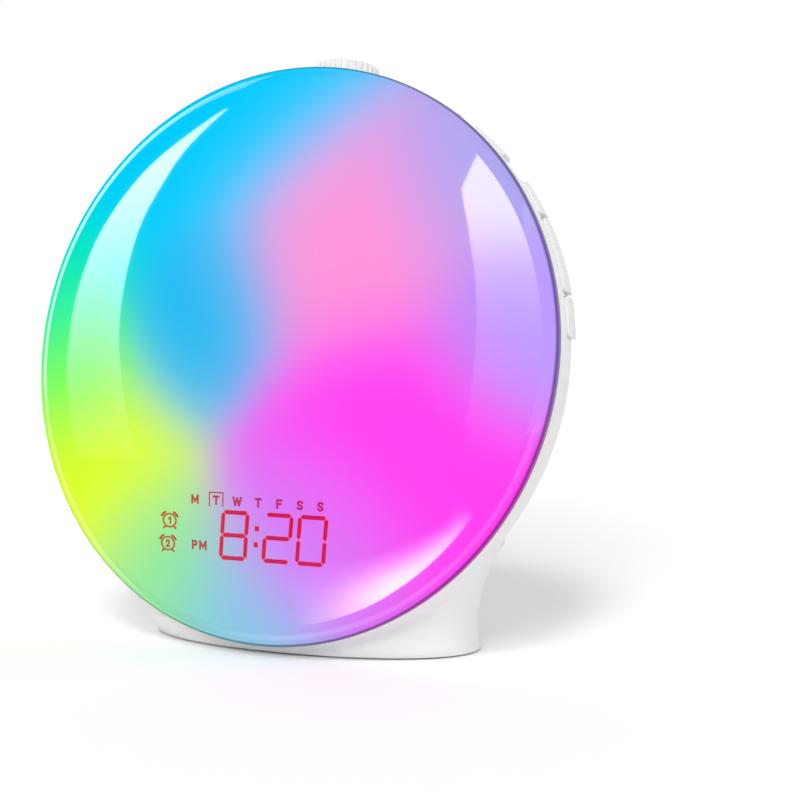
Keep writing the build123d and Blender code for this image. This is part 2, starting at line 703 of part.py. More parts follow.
def encoder_shaft():
    return on_dial(bore(SHAFT_R, SHAFT_TAIL, DIAL_BORE_TOP))


def dial_knob():
    """Ribbed cap, hollow underneath, with a hub that grips the shaft."""
    body = bore(DIAL_R - DIAL_RIB_T, DIAL_BOTTOM, DIAL_TOP)
    body = fillet(body.edges().group_by(Axis.Z)[-1], 1.3)
    for n in range(DIAL_RIBS):
        rib = Pos(DIAL_R - DIAL_RIB_T, 0, 0) * bore(DIAL_RIB_R, DIAL_BOTTOM, DIAL_TOP - 1.4)
        body += Rot(0, 0, 360 * n / DIAL_RIBS) * rib
    body -= bore(7.4, DIAL_BOTTOM - 1, 88.2)
    body -= bore(SHAFT_R + 0.05, 88, DIAL_BORE_TOP + 0.05)
    return on_dial(body)


# ---- loudspeaker ----
def speaker_screw_places():
    return four_diagonal(SPEAKER_R - 1.2)


def speaker_basket():
    """Pressed steel frame: a flange on the rear panel and a cone down to the magnet."""
    flange_h = DRUM_BACK_H + 1.2
    outline = Polyline((SPEAKER_R, DRUM_BACK_H), (SPEAKER_R, flange_h), (22.6, flange_h),
                       (13.4, SPEAKER_PLATE_H), (6.5, SPEAKER_PLATE_H), (6.5, SPEAKER_PLATE_H - 0.8),
                       (12.9, SPEAKER_PLATE_H - 0.8), (21.6, DRUM_BACK_H + 0.6), (21.6, DRUM_BACK_H),
                       close=True)
    frame = revolve(Plane.XZ * make_face(outline), axis=Axis.Z)
    for n in range(4):
        frame -= Rot(0, 0, 90 * n) * block(17, 0, -46.5, 7, 9, 5.4)
    for x, y in speaker_screw_places():
        frame -= post(x, y, DRUM_BACK_H, flange_h, SPEAKER_SCREW_R)
    return frame


def speaker_magnet():
    gap = ring(5.6, 6.4, SPEAKER_PLATE_H, SPEAKER_PLATE_H + 6)
    return ring(0, 13.0, SPEAKER_PLATE_H, SPEAKER_PLATE_H + 8) - gap


def speaker_surround():
    """Rolled rubber ring that the frame holds at its outer edge."""
    outline = Polyline((21.5, -51.9), (21.5, -51.3), (20.0, -50.2), (18.8, -50.2), (18.8, -50.7),
                       (19.8, -50.7), (20.9, -51.9), close=True)
    return revolve(Plane.XZ * make_face(outline), axis=Axis.Z)


def speaker_cone():
    """Paper cone with its dust cap and the voice coil's former in the magnet's gap."""
    outline = Polyline((18.3, -50.3), (5.9, -44.3), (5.9, -38.0), (6.1, -38.0), (6.1, -43.9), (6.4, -44.0),
                       (18.3, -49.8), close=True)
    cone = revolve(Plane.XZ * make_face(outline), axis=Axis.Z)
    return cone + ring(0, 6.2, -44.6, -44.2)


def speaker_screws():
    one = screw(1.9, 1.15, 0.7, SPEAKER_SCREW_R)
    return [Pos(x, y, DRUM_BACK_H + 1.2) * one for x, y in speaker_screw_places()]


# ---- power and leads ----
def inlet_board():
    return block(0, INLET_Y - 3.1, DRUM_BACK_H + 5.0, 14, BOARD_T, 9.0)


def power_inlet():
    """Shell of a micro-USB socket with its tongue."""
    shell = block(0, INLET_Y, DRUM_BACK_H + 2.6, 7.6, 2.8, 5.6)
    shell -= block(0, INLET_Y, DRUM_BACK_H + 2.1, 7.0, 2.2, 5.6)
    tongue = block(0, INLET_Y + 0.3, DRUM_BACK_H + 3.2, 4.0, 0.6, 3.8)
    feet = block(0, INLET_Y - 1.85, DRUM_BACK_H + 4.6, 7.6, 0.9, 1.6)
    return shell + tongue + feet


def strip(points, width, thick=0.3):
    """A flat ribbon along a bent path in the head's y, h plane."""
    face = make_face(offset(Polyline(*points), thick / 2, kind=Kind.INTERSECTION))
    return extrude(face, width / 2, both=True)


def display_ribbon():
    bends = [(-44.0, -4.75), (-36.6, -4.75), (RIBBON_SLOT_Y, -6.0), (RIBBON_SLOT_Y, -19.0), (-30.0, -19.0),
             (-29.2, -19.7)]
    return Pos(RIBBON_X, 0, 0) * (Plane.YZ * strip(bends, 12.0))


def encoder_ribbon():
    bends = [(73.5, -27.0), (66.0, -27.0), (60.0, -20.0), (34.0, -18.6), (29.5, -18.6), (29.5, -19.8)]
    return Plane.YZ * strip(bends, 8.0)


def speaker_leads():
    leads = []
    board_end = MAIN_BOARD_H - BOARD_T - 0.02
    for side in (-1, 1):
        near, far = 14.0 + side, 24.0 + side
        route = FilletPolyline((near, 19.5, -50.7), (near, 19.5, -43.0), (far, 24.0, -36.0),
                               (far, 24.0, board_end), radius=3.0)
        start = Plane(origin=route @ 0, z_dir=route % 0)
        leads.append(sweep(start * Circle(0.55), path=route))
    return leads


def collect():
    """Every node in the clock's frame."""
    in_local = {
        "front_diffuser": front_diffuser(), "gasket_tape": gasket_tape(), "rear_panel": rear_panel(),
        "rear_screws": rear_screws(), "reflector_bowl": reflector_bowl(), "led_board": led_board(),
        "rgb_leds": rgb_leds(), "led_board_screws": led_board_screws(), "display_mask": display_mask(),
        "display_segments": display_segments(), "display_board": display_board(),
        "display_stands": display_stands(), "main_board": main_board(),
        "main_board_screws": main_board_screws(), "main_board_parts": main_board_parts(),
        "key_board": key_board(), "key_board_screws": key_board_screws(), "tact_switches": tact_switches(),
        "rocker_key": rocker_key(), "rocker_pin": rocker_pin(),
        "encoder_body": encoder_body(), "encoder_nut": encoder_nut(), "encoder_board": encoder_board(),
        "encoder_shaft": encoder_shaft(), "dial_knob": dial_knob(), "speaker_basket": speaker_basket(),
        "speaker_magnet": speaker_magnet(), "speaker_surround": speaker_surround(),
        "speaker_cone": speaker_cone(), "speaker_screws": speaker_screws(), "inlet_board": inlet_board(),
        "power_inlet": power_inlet(), "display_ribbon": display_ribbon(), "encoder_ribbon": encoder_ribbon(),
        "speaker_leads": speaker_leads(),
    }
    for name, (start, end) in KEY_SPANS.items():
        in_local[name] = key_cap(start, end)
        in_local[name + "_plunger"] = plunger((start + end) / 2)
    for name, shape in in_local.items():
        pieces = shape if isinstance(shape, list) else [shape]
        parts[name] = [in_head(piece) for piece in pieces]
    parts["main_housing"] = [main_housing()]
    parts["base_plate"] = [base_plate()]
    parts["base_screws"] = base_screws()
    parts["rubber_feet"] = rubber_feet()
    parts["battery_door"] = [battery_door()]
    parts["battery_door_screw"] = [battery_door_screw()]
    parts["coin_cell"] = [coin_cell()]
    parts["cell_holder"] = [cell_holder()]


collect()
os.makedirs("parts", exist_ok=True)
for name, pieces in parts.items():
    whole = pieces[0] if len(pieces) == 1 else Compound(children=pieces)
    export_step(whole, f"parts/{name}.step")
print("head stands at y", HEAD_Y, "pedestal's middle at y", BASE_Y)
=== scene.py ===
import json
from math import cos, pi, radians, sin, sqrt

import bmesh
import bpy
import numpy as np
from mathutils import Matrix, Vector


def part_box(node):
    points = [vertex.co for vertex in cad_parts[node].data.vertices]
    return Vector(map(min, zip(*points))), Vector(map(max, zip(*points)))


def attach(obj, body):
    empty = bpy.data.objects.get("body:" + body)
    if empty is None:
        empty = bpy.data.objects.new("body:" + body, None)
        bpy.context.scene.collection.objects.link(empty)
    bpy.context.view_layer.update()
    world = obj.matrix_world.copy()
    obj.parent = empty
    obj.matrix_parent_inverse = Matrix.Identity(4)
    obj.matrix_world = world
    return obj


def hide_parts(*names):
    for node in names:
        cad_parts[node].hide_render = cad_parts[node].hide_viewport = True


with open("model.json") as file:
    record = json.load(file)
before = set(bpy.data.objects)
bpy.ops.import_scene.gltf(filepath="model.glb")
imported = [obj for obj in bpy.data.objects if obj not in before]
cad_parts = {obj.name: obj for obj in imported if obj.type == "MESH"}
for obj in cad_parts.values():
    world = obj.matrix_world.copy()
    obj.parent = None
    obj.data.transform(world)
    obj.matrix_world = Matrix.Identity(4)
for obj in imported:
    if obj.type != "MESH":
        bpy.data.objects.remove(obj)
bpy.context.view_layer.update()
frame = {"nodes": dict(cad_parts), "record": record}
nodes = frame["nodes"]
scene = bpy.context.scene

# Sunrise alarm clock. Blender's frame is in metres; the head's own frame is in millimetres, with x to
# the right of the face, y up the face and h out of it, and its origin at the middle of the lip.

MM = 0.001
TILT = radians(10.56)

SKIRT = (81.2, 82.9, -6.0)
lens_low, lens_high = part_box("front_diffuser")
LENS_R = (lens_high.x - lens_low.x) / 2 / MM
LIP_T = 1.6
HEAD_Z = lens_high.z - LENS_R * MM * cos(TILT)
HEAD_Y = lens_high.y - MM * (SKIRT[1] * sin(TILT) - SKIRT[2] * cos(TILT))
HEAD_CENTRE = Vector((0, HEAD_Y, HEAD_Z))
HEAD_TURN = pi / 2 - TILT
HEAD = Matrix.Translation(HEAD_CENTRE) @ Matrix.Rotation(HEAD_TURN, 4, "X") @ Matrix.Scale(MM, 4)

# ---- sizes of the face, in millimetres ----
MARK_LIFT = 0.05         # how far the lit marks stand above the skin
SKIN_DROP = 0.08         # the skin lies this much lower than the solid's, so that the marks fit within it
APEX_H = 15.5 - SKIN_DROP
CREASE_R = 81.9
CREASE_H = 2.825 - SKIN_DROP
LENS_T = 2.0
FLANGE_R = 84.9          # the roll ends here in a flat flange
EDGE_R = 85.47           # from here outwards the glow is turned down: the edge is partly unlit from behind, and the dark ring is partly painted shade of the gap at the housing's lip
EDGE_SHADE_MIDDLE = (-0.386, 0.104, 0)   # the painted shade ring sits off centre, so it is widest at the lower right, where the shade of the housing's lip falls widest
DOME_BALL = (CREASE_R**2 + (APEX_H - CREASE_H)**2) / (2 * (APEX_H - CREASE_H))
DRUM_R = 85.4
DRUM_DEPTH = 54.0
DRUM_STRAIGHT_H = -5.0
DRUM_BACK_H = -52.0
ROUND_STEPS = 288
TURNED_WELD = 0.03       # doubles closer than this are merged in turned meshes
SHARP_ANGLE = 35         # edges steeper than this, in degrees, stay sharp


def head(x, y, h):
    """A point of the head's frame, in the clock's frame."""
    return HEAD @ Vector((x, y, h))


def dome_h(r, drop=0.0):
    """Height of the dome's outer face at radius r, or of a face that lies drop under it."""
    ball = DOME_BALL - drop
    return APEX_H - DOME_BALL + sqrt(ball**2 - r**2)


def linear(hex_colour):
    """An sRGB hex colour as the linear values that sockets take."""
    values = [int(hex_colour[i:i + 2], 16) / 255 for i in (1, 3, 5)]
    return tuple(v / 12.92 if v <= 0.04045 else ((v + 0.055) / 1.055)**2.4 for v in values) + (1.0,)


# ---- meshes ----
def ring_faces(count, steps):
    """Faces between the copies of a closed profile of count points, turned in steps."""
    faces = []
    for step in range(steps):
        here, there = step * count, (step + 1) % steps * count
        faces += [(here + i, there + i, there + (i + 1) % count, here + (i + 1) % count) for i in range(count)]
    return faces


def joined(bm, drop=0.0):
    """Merge the doubles of a turned mesh, point its faces outwards and let it down by drop."""
    bmesh.ops.remove_doubles(bm, verts=bm.verts, dist=TURNED_WELD * MM)
    bmesh.ops.recalc_face_normals(bm, faces=bm.faces)
    bmesh.ops.translate(bm, verts=bm.verts, vec=(0, 0, -drop * MM))


def arc(centre, radius, start, end, steps):
    """Points of an arc between two angles in degrees."""
    turns = [radians(start + (end - start) * i / steps) for i in range(steps + 1)]
    return [(centre[0] + radius * cos(a), centre[1] + radius * sin(a)) for a in turns]


def curve3(p0, p1, p2, steps):
    """Points of a quadratic curve that passes p1 half way."""
    points = []
    for i in range(steps + 1):
        t = i / steps
        middle = [2 * p1[k] - (p0[k] + p2[k]) / 2 for k in (0, 1)]
        points.append(tuple((1 - t)**2 * p0[k] + 2 * t * (1 - t) * middle[k] + t * t * p2[k] for k in (0, 1)))
    return points


# ---- materials ----
def add_node(tree, kind, settings=None, links=None):
    """Add a node; settings name its properties or input sockets, links join sockets to its inputs."""
    node = tree.nodes.new(kind)
    for key, value in (settings or {}).items():
        if isinstance(key, int) or key in node.inputs:
            node.inputs[key].default_value = value
        else:
            setattr(node, key, value)
    for key, socket in (links or {}).items():
        tree.links.new(socket, node.inputs[key])
    return node


def bare_material(name):
    """A material with an empty node tree."""
    material = bpy.data.materials.new(name)
    material.use_nodes = True
    material.node_tree.nodes.clear()
    return material, material.node_tree


def new_material(name, shader_settings):
    """A material with a Principled shader, and its node tree and shader."""
    material, tree = bare_material(name)
    shader = add_node(tree, "ShaderNodeBsdfPrincipled", shader_settings)
    add_node(tree, "ShaderNodeOutputMaterial", links={"Surface": shader.outputs[0]})
    return material, tree, shader


def fine_grain(tree, shader, size_mm, depth_mm):
    """Moulded or rolled surface grain as a small bump."""
    noise = add_node(tree, "ShaderNodeTexNoise", {"Scale": 1 / (size_mm * MM), "Detail": 3.0},
                     {"Vector": add_node(tree, "ShaderNodeTexCoord").outputs["Object"]})
    bump = add_node(tree, "ShaderNodeBump", {"Distance": depth_mm * MM, "Strength": 1.0},
                    {"Height": noise.outputs[0]})
    tree.links.new(bump.outputs[0], shader.inputs["Normal"])


def mottle(tree, shader, colour_a, colour_b, size_mm):
    """Slow change between two close colours, as in real batches and wear."""
    noise = add_node(tree, "ShaderNodeTexNoise", {"Scale": 1 / (size_mm * MM), "Detail": 2.0},
                     {"Vector": add_node(tree, "ShaderNodeTexCoord").outputs["Object"]})
    mix = add_node(tree, "ShaderNodeMix", {"data_type": "RGBA"}, {0: noise.outputs[0]})
    mix.inputs[6].default_value = linear(colour_a)
    mix.inputs[7].default_value = linear(colour_b)
    tree.links.new(mix.outputs[2], shader.inputs["Base Color"])


EDGE_LIGHT = 0.36    # what is left of the glow in the diffuser's outer edge, a ring of painted shade
# Pools of light on the dome: x and y on the face in mm, reach in mm, colour of the lamps there.
GLOW_POOLS = [
    (-60, 66, 34, "#00CCFF"),
    (-18, 74, 30, "#00C8FF"),
    (-78, 20, 22, "#00EEAA"),
    (-70, -8, 20, "#5CFF60"),
    (-60, -38, 26, "#E0FF28"),
    (-34, -66, 20, "#90E8A0"),
    (-6, -80, 20, "#86C8E8"),
    (18, -56, 22, "#D080F8"),
    (42, -30, 30, "#FF40F0"),
    (24, 34, 26, "#FF92D8"),
    (58, 54, 22, "#A8A8F0"),
    (78, 10, 20, "#B090F8"),
    (-22, 10, 22, "#20B8F0"),
]


def glow_colour(tree):
    """The lamps' colours blended over the face: each pool fades with the distance from its middle, and a ring of
    painted shade darkens the outer edge.
    """
    place = add_node(tree, "ShaderNodeMapping", {"vector_type": "TEXTURE", "Location": HEAD_CENTRE,
                                                 "Rotation": (HEAD_TURN, 0, 0), "Scale": (MM, MM, MM)},
                     {"Vector": add_node(tree, "ShaderNodeTexCoord").outputs["Object"]})
    flat = add_node(tree, "ShaderNodeVectorMath", {"operation": "MULTIPLY", 1: (1, 1, 0)},
                    {0: place.outputs[0]}).outputs[0]
    colour_sum = weight_sum = None
    for x, y, reach, colour in GLOW_POOLS:
        away = add_node(tree, "ShaderNodeVectorMath", {"operation": "DISTANCE", 1: (x, y, 0)}, {0: flat})
        ratio = add_node(tree, "ShaderNodeMath", {"operation": "DIVIDE", 1: reach}, {0: away.outputs["Value"]})
        square = add_node(tree, "ShaderNodeMath", {"operation": "MULTIPLY"},
                          {0: ratio.outputs[0], 1: ratio.outputs[0]})
        falling = add_node(tree, "ShaderNodeMath", {"operation": "MULTIPLY", 1: -1.0}, {0: square.outputs[0]})
        weight = add_node(tree, "ShaderNodeMath", {"operation": "EXPONENT"}, {0: falling.outputs[0]}).outputs[0]
        share = add_node(tree, "ShaderNodeVectorMath", {"operation": "SCALE", 0: linear(colour)[:3]},
                         {"Scale": weight}).outputs[0]
        if colour_sum is None:
            colour_sum, weight_sum = share, weight
            continue
        colour_sum = add_node(tree, "ShaderNodeVectorMath", {"operation": "ADD"},
                              {0: colour_sum, 1: share}).outputs[0]
        weight_sum = add_node(tree, "ShaderNodeMath", {"operation": "ADD"},
                              {0: weight_sum, 1: weight}).outputs[0]
    # painted shade: colour and glow turned down in an off-centre ring at the diffuser's edge, standing in for the
    # dark gap at the housing's lip
    radius = add_node(tree, "ShaderNodeVectorMath", {"operation": "DISTANCE", 1: EDGE_SHADE_MIDDLE},
                      {0: flat}).outputs["Value"]
    lit = add_node(tree, "ShaderNodeMapRange", {1: EDGE_R - 0.25, 2: EDGE_R + 0.25, 3: 1.0, 4: EDGE_LIGHT},
                   {0: radius})
    part = add_node(tree, "ShaderNodeMath", {"operation": "DIVIDE"}, {0: lit.outputs[0], 1: weight_sum})
    return add_node(tree, "ShaderNodeVectorMath", {"operation": "SCALE"},
                    {0: colour_sum, "Scale": part.outputs[0]}).outputs[0]


LIT_SHARE = 0.66     # how much of the face's colour is its own light
LIT_STRENGTH = 0.625   # how strongly it glows


def lit_polycarbonate():
    """Opal polycarbonate, lit from behind: even soft colour with a polished outer skin."""
    material, tree, shader = new_material("lit_opal_polycarbonate", {
        "Roughness": 0.035, "IOR": 1.585, "Emission Strength": LIT_STRENGTH})
    glow = glow_colour(tree)
    tree.links.new(glow, shader.inputs["Emission Color"])
    base = add_node(tree, "ShaderNodeVectorMath", {"operation": "SCALE", "Scale": 1 - LIT_SHARE}, {0: glow})
    tree.links.new(base.outputs[0], shader.inputs["Base Color"])
    return material


def lit_figures(name, colour, strength, share):
    """Red light bars seen through the opal skin, tinted by the colour that glows round them."""
    material, tree, shader = new_material(name, {
        "Roughness": 0.035, "IOR": 1.585, "Emission Strength": strength})
    mix = add_node(tree, "ShaderNodeMix", {"data_type": "RGBA", 0: share}, {6: glow_colour(tree)})
    mix.inputs[7].default_value = linear(colour)
    tree.links.new(mix.outputs[2], shader.inputs["Emission Color"])
    base = add_node(tree, "ShaderNodeVectorMath", {"operation": "SCALE", "Scale": 1 - LIT_SHARE},
                    {0: mix.outputs[2]})
    tree.links.new(base.outputs[0], shader.inputs["Base Color"])
    return material


def moulded_abs(name, colour_a, colour_b, roughness, grain_mm=0.35, depth_mm=0.004):
    """Injection-moulded ABS with a fine spark-eroded grain, drawn coarser than life so that it shows."""
    material, tree, shader = new_material(name, {"Roughness": roughness, "IOR": 1.53})
    mottle(tree, shader, colour_a, colour_b, 14.0)
    fine_grain(tree, shader, grain_mm, depth_mm)
    return material


def plated_steel(name, colour, roughness):
    """Zinc- or nickel-plated steel with faint rolling marks."""
    material, tree, shader = new_material(name, {"Metallic": 1.0, "Roughness": roughness})
    mottle(tree, shader, colour, "#9A9DA2", 3.0)
    fine_grain(tree, shader, 0.25, 0.003)
    return material


def soft_rubber(name, colour_a, colour_b):
    """Matt moulded rubber or foam with a coarse, soft grain."""
    material, tree, shader = new_material(name, {"Roughness": 0.82, "IOR": 1.5})
    mottle(tree, shader, colour_a, colour_b, 2.0)
    fine_grain(tree, shader, 0.4, 0.02)
    return material


def circuit_board(name, mask_colour, trace_colour):
    """Fibreglass board: solder mask with slightly paler copper traces under it."""
    material, tree, shader = new_material(name, {"Roughness": 0.35, "IOR": 1.5})
    bricks = add_node(tree, "ShaderNodeTexBrick", {
        "Scale": 1 / (6 * MM), "Mortar Size": 0.06, "Color1": linear(mask_colour),
        "Color2": linear(mask_colour), "Mortar": linear(trace_colour)},
                      {"Vector": add_node(tree, "ShaderNodeTexCoord").outputs["Object"]})
    tree.links.new(bricks.outputs["Color"], shader.inputs["Base Color"])
    fine_grain(tree, shader, 0.6, 0.01)
    return material


opal = lit_polycarbonate()
figures_red = lit_figures("red_light_bars", "#C80034", LIT_STRENGTH, 0.93)
figures_halo = lit_figures("red_light_halo", "#FF6A80", LIT_STRENGTH, 0.5)
marks_red = lit_figures("red_light_marks", "#B8001C", LIT_STRENGTH, 0.86)
white_abs = moulded_abs("white_abs_satin", "#EEEEED", "#EAEAE9", 0.42)
key_abs = moulded_abs("white_abs_keys", "#E4E4E3", "#E0E1E0", 0.36, depth_mm=0.001)
FINISHES = {
    "diffuser": opal,
    "housing": white_abs,
    "key": key_abs,
    "dial": key_abs,
    "foam": soft_rubber("black_foam_tape", "#17171A", "#222226"),
    "rubber": soft_rubber("grey_silicone_rubber", "#6A6C6E", "#5C5E60"),
    "screw": plated_steel("zinc_plated_steel", "#C9CCD0", 0.28),
    "steel": plated_steel("nickel_plated_steel", "#D6D4CE", 0.22),
    "ferrite": moulded_abs("sintered_ferrite", "#1B1B1D", "#242427", 0.6, 0.5, 0.02),
    "board": circuit_board("green_circuit_board", "#0E4A26", "#2E7A48"),
    "white_board": circuit_board("white_circuit_board", "#F2F2EE", "#DADAD2"),
    "lamp": moulded_abs("lamp_body_ppa", "#F4F1E2", "#ECE7CF", 0.3),
    "reflector": moulded_abs("white_polypropylene", "#F3F3F2", "#ECECEA", 0.3),
    "mask": moulded_abs("black_polycarbonate_mask", "#121214", "#19191C", 0.5),
    "light_bar": figures_red,
    "chip": moulded_abs("black_epoxy", "#161617", "#202022", 0.45),
    "paper": soft_rubber("black_paper_pulp", "#1A1A1A", "#26241F"),
    "ribbon": moulded_abs("white_polyester_ribbon", "#E4E3DC", "#D8D6CC", 0.4),
    "lead": moulded_abs("red_pvc_insulation", "#A81818", "#8E1212", 0.4),
}

for entry in frame["record"]["subparts"]:
    cad = nodes[entry["node"]]
    cad.data.materials.clear()
    cad.data.materials.append(FINISHES[entry["material_slot"]])


# ---- diffuser ----
def diffuser_profile():
    """Outer skin from the middle to the rolled edge, round the skirt and back along the inner skin."""
    outer = [(max(r, 0.02), dome_h(r)) for r in [CREASE_R * (i / 40) for i in range(40)]]
    outer += [(CREASE_R - d, dome_h(CREASE_R - d)) for d in (0.3, 0.1)] + [(CREASE_R, CREASE_H)]
    rolled = curve3((CREASE_R + 0.1, CREASE_H - 0.06), (83.5, 1.55), (FLANGE_R, 0.08), 16)
    edge = [(85.85, -0.01), (85.93, -0.12), (85.97, -0.28), (85.97, 0.1 - LIP_T),
            (85.87, -LIP_T)]
    skirt = [(SKIRT[1], -LIP_T), (SKIRT[1], SKIRT[2]), (SKIRT[0], SKIRT[2]), (SKIRT[0], 0.3)]
    inner_r = CREASE_R - 1.3
    inner = [(max(inner_r * (i / 16), 0.02), dome_h(inner_r * (i / 16), LENS_T)) for i in range(16, -1, -1)]
    return outer + rolled + edge + skirt + inner


def make_diffuser():
    """The dome, its rolled edge and its skirt, turned about the head's axis."""
    profile = diffuser_profile()
    verts = []
    for step in range(ROUND_STEPS):
        turn = 2 * pi * step / ROUND_STEPS
        verts += [tuple(head(r * cos(turn), r * sin(turn), h)) for r, h in profile]
    mesh = bpy.data.meshes.new("diffuser_dome")
    mesh.from_pydata(verts, [], ring_faces(len(profile), ROUND_STEPS))
    bm = bmesh.new()
    bm.from_mesh(mesh)
    joined(bm)
    bm.to_mesh(mesh)
    bm.free()
    mesh.shade_smooth()
    mesh.set_sharp_from_angle(angle=radians(SHARP_ANGLE))
    mesh.materials.append(opal)
    obj = bpy.data.objects.new("diffuser_dome", mesh)
    scene.collection.objects.link(obj)
    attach(obj, "clock")
    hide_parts("front_diffuser")


make_diffuser()

# ---- housing ----
BASE_Y = HEAD_Y / MM + 19.4
BASE_Z = 0.6
BLEND = 10.0             # reach of the soft corner between the bowl and the pedestal
OUTER_TOLERANCE = 0.25


def bowl_gap(points):
    """Distance of points (mm, clock's frame) from the bowl's outer face, and their height h."""
    y, z = points[:, 1] - HEAD_Y / MM, points[:, 2] - HEAD_Z / MM
    up = y * sin(TILT) + z * cos(TILT)
    h = z * sin(TILT) - y * cos(TILT)
    r = np.hypot(points[:, 0], up)
    back = np.minimum(0, h - DRUM_STRAIGHT_H) / DRUM_DEPTH
    level = np.sqrt((r / DRUM_R)**2 + back**2)
    slope = np.sqrt((r / DRUM_R**2)**2 + (back / DRUM_DEPTH)**2)
    return np.maximum((level - 1) * level / np.maximum(slope, 1e-6), DRUM_BACK_H - h), h


def pedestal_gap(points):
    """Distance of points from the pedestal's flared wall."""
    x, y, z = points[:, 0], points[:, 1] - BASE_Y, points[:, 2]
    inward = np.maximum(0, z - 33)
    low = np.clip(z, 0, 33)
    width = 53.4 - 0.8 * np.minimum(1, low / 8) + 0.047 * np.maximum(0, low - 9)**1.6 - 0.9 * inward
    depth = np.where(y < 0, 27 - z * sin(TILT) / cos(TILT), 27 - 0.7 * inward)
    power = np.where(y < 0, 2 + 1.4 * np.clip(z / 7, 0, 1), 2.0)
    across = np.maximum(np.abs(x) / width, 1e-9)
    along = np.maximum(np.abs(y) / depth, 1e-9)
    level = (across**power + along**power)**(1 / power)
    slope_x = across**(power - 1) * level**(1 - power) / width
    slope_y = along**(power - 1) * level**(1 - power) / depth
    return (level - 1) / np.sqrt(slope_x**2 + slope_y**2)


def housing_gap(points):
    """Distance from the housing's outer face, with the corner between its two forms rounded."""
    bowl, h = bowl_gap(points)
    pedestal = pedestal_gap(points)
    reach = BLEND * np.clip((-4 - h) / 10, 0.02, 1) * np.clip((h - DRUM_BACK_H) / 8, 0.02, 1)
    shared = np.maximum(reach - np.abs(bowl - pedestal), 0)
    return np.minimum(bowl, pedestal) - shared**2 / (4 * reach)


def outward_slope(points):
    """Unit normals of the housing's outer face at points."""
    step = 0.05
    slopes = []
    for axis in range(3):
        shift = np.zeros(3)
        shift[axis] = step
        slopes.append(housing_gap(points + shift) - housing_gap(points - shift))
    slopes = np.stack(slopes, 1)
    return slopes / np.maximum(np.linalg.norm(slopes, axis=1, keepdims=True), 1e-9)


def reach_out(turns, levels):
    """Points on the housing's outer face, straight out from the pedestal's middle at given turns and levels."""
    near, far = np.zeros_like(turns), np.full_like(turns, 130.0)
    for _ in range(36):
        middle = (near + far) / 2
        points = np.stack([middle * np.cos(turns), BASE_Y + middle * np.sin(turns), levels], 1)
        inside = housing_gap(points) < 0
        near, far = np.where(inside, middle, near), np.where(inside, far, middle)
    return points


def soft_corner():
    """A skin that rounds the corner where the bowl sits on the pedestal, closed by an inner face."""
    turns = 360
    rows = 22
    depth = 1.1
    grid_turns, grid_rows = np.meshgrid(np.radians(np.arange(turns)), np.linspace(0.8, 56, 140), indexing="ij")
    points = reach_out(grid_turns.ravel(), grid_rows.ravel())
    sharp = np.minimum(bowl_gap(points)[0], pedestal_gap(points)).reshape(grid_turns.shape)
    lows, highs = [], []
    for row in range(turns):
        levels = grid_rows[row][sharp[row] > 0.02]
        lows.append(levels.min() if len(levels) else np.nan)
        highs.append(levels.max() if len(levels) else np.nan)
    known = np.arange(turns)[~np.isnan(lows)]
    lows = np.interp(np.arange(turns), known, np.array(lows)[known], period=turns) - 0.8
    highs = np.interp(np.arange(turns), known, np.array(highs)[known], period=turns) + 0.8
    kernel = np.ones(9) / 9
    lows = np.convolve(np.pad(lows, 4, "wrap"), kernel, "valid")
    highs = np.convolve(np.pad(highs, 4, "wrap"), kernel, "valid")
    share = np.linspace(0, 1, rows)
    levels = np.maximum(lows[:, None] + (highs - lows)[:, None] * share, BASE_Z + 0.2)
    all_turns = np.repeat(np.radians(np.arange(turns)), rows)
    outer = reach_out(all_turns, levels.ravel())
    normals = outward_slope(outer)
    edge = np.tile(np.minimum(share, 1 - share) * (rows - 1), turns)
    sink = 0.05 + 0.25 * np.clip(1 - edge, 0, 1)
    outer = outer - normals * sink[:, None]
    inner = outer - normals * depth
    verts = [tuple(p * MM) for p in np.concatenate([outer, inner])]
    faces = []
    shift = turns * rows
    for i in range(turns):
        here, there = i * rows, (i + 1) % turns * rows
        for k in range(rows - 1):
            faces.append((here + k, there + k, there + k + 1, here + k + 1))
            faces.append((shift + here + k, shift + here + k + 1, shift + there + k + 1, shift + there + k))
        for k in (0, rows - 1):
            faces.append((here + k, shift + here + k, shift + there + k, there + k))
    return verts, faces


def merged_copy(node):
    """A copy of a CAD node's mesh with its loose triangles joined."""
    bm = bmesh.new()
    bm.from_mesh(nodes[node].data)
    bmesh.ops.remove_doubles(bm, verts=bm.verts, dist=0.001 * MM)
    return bm


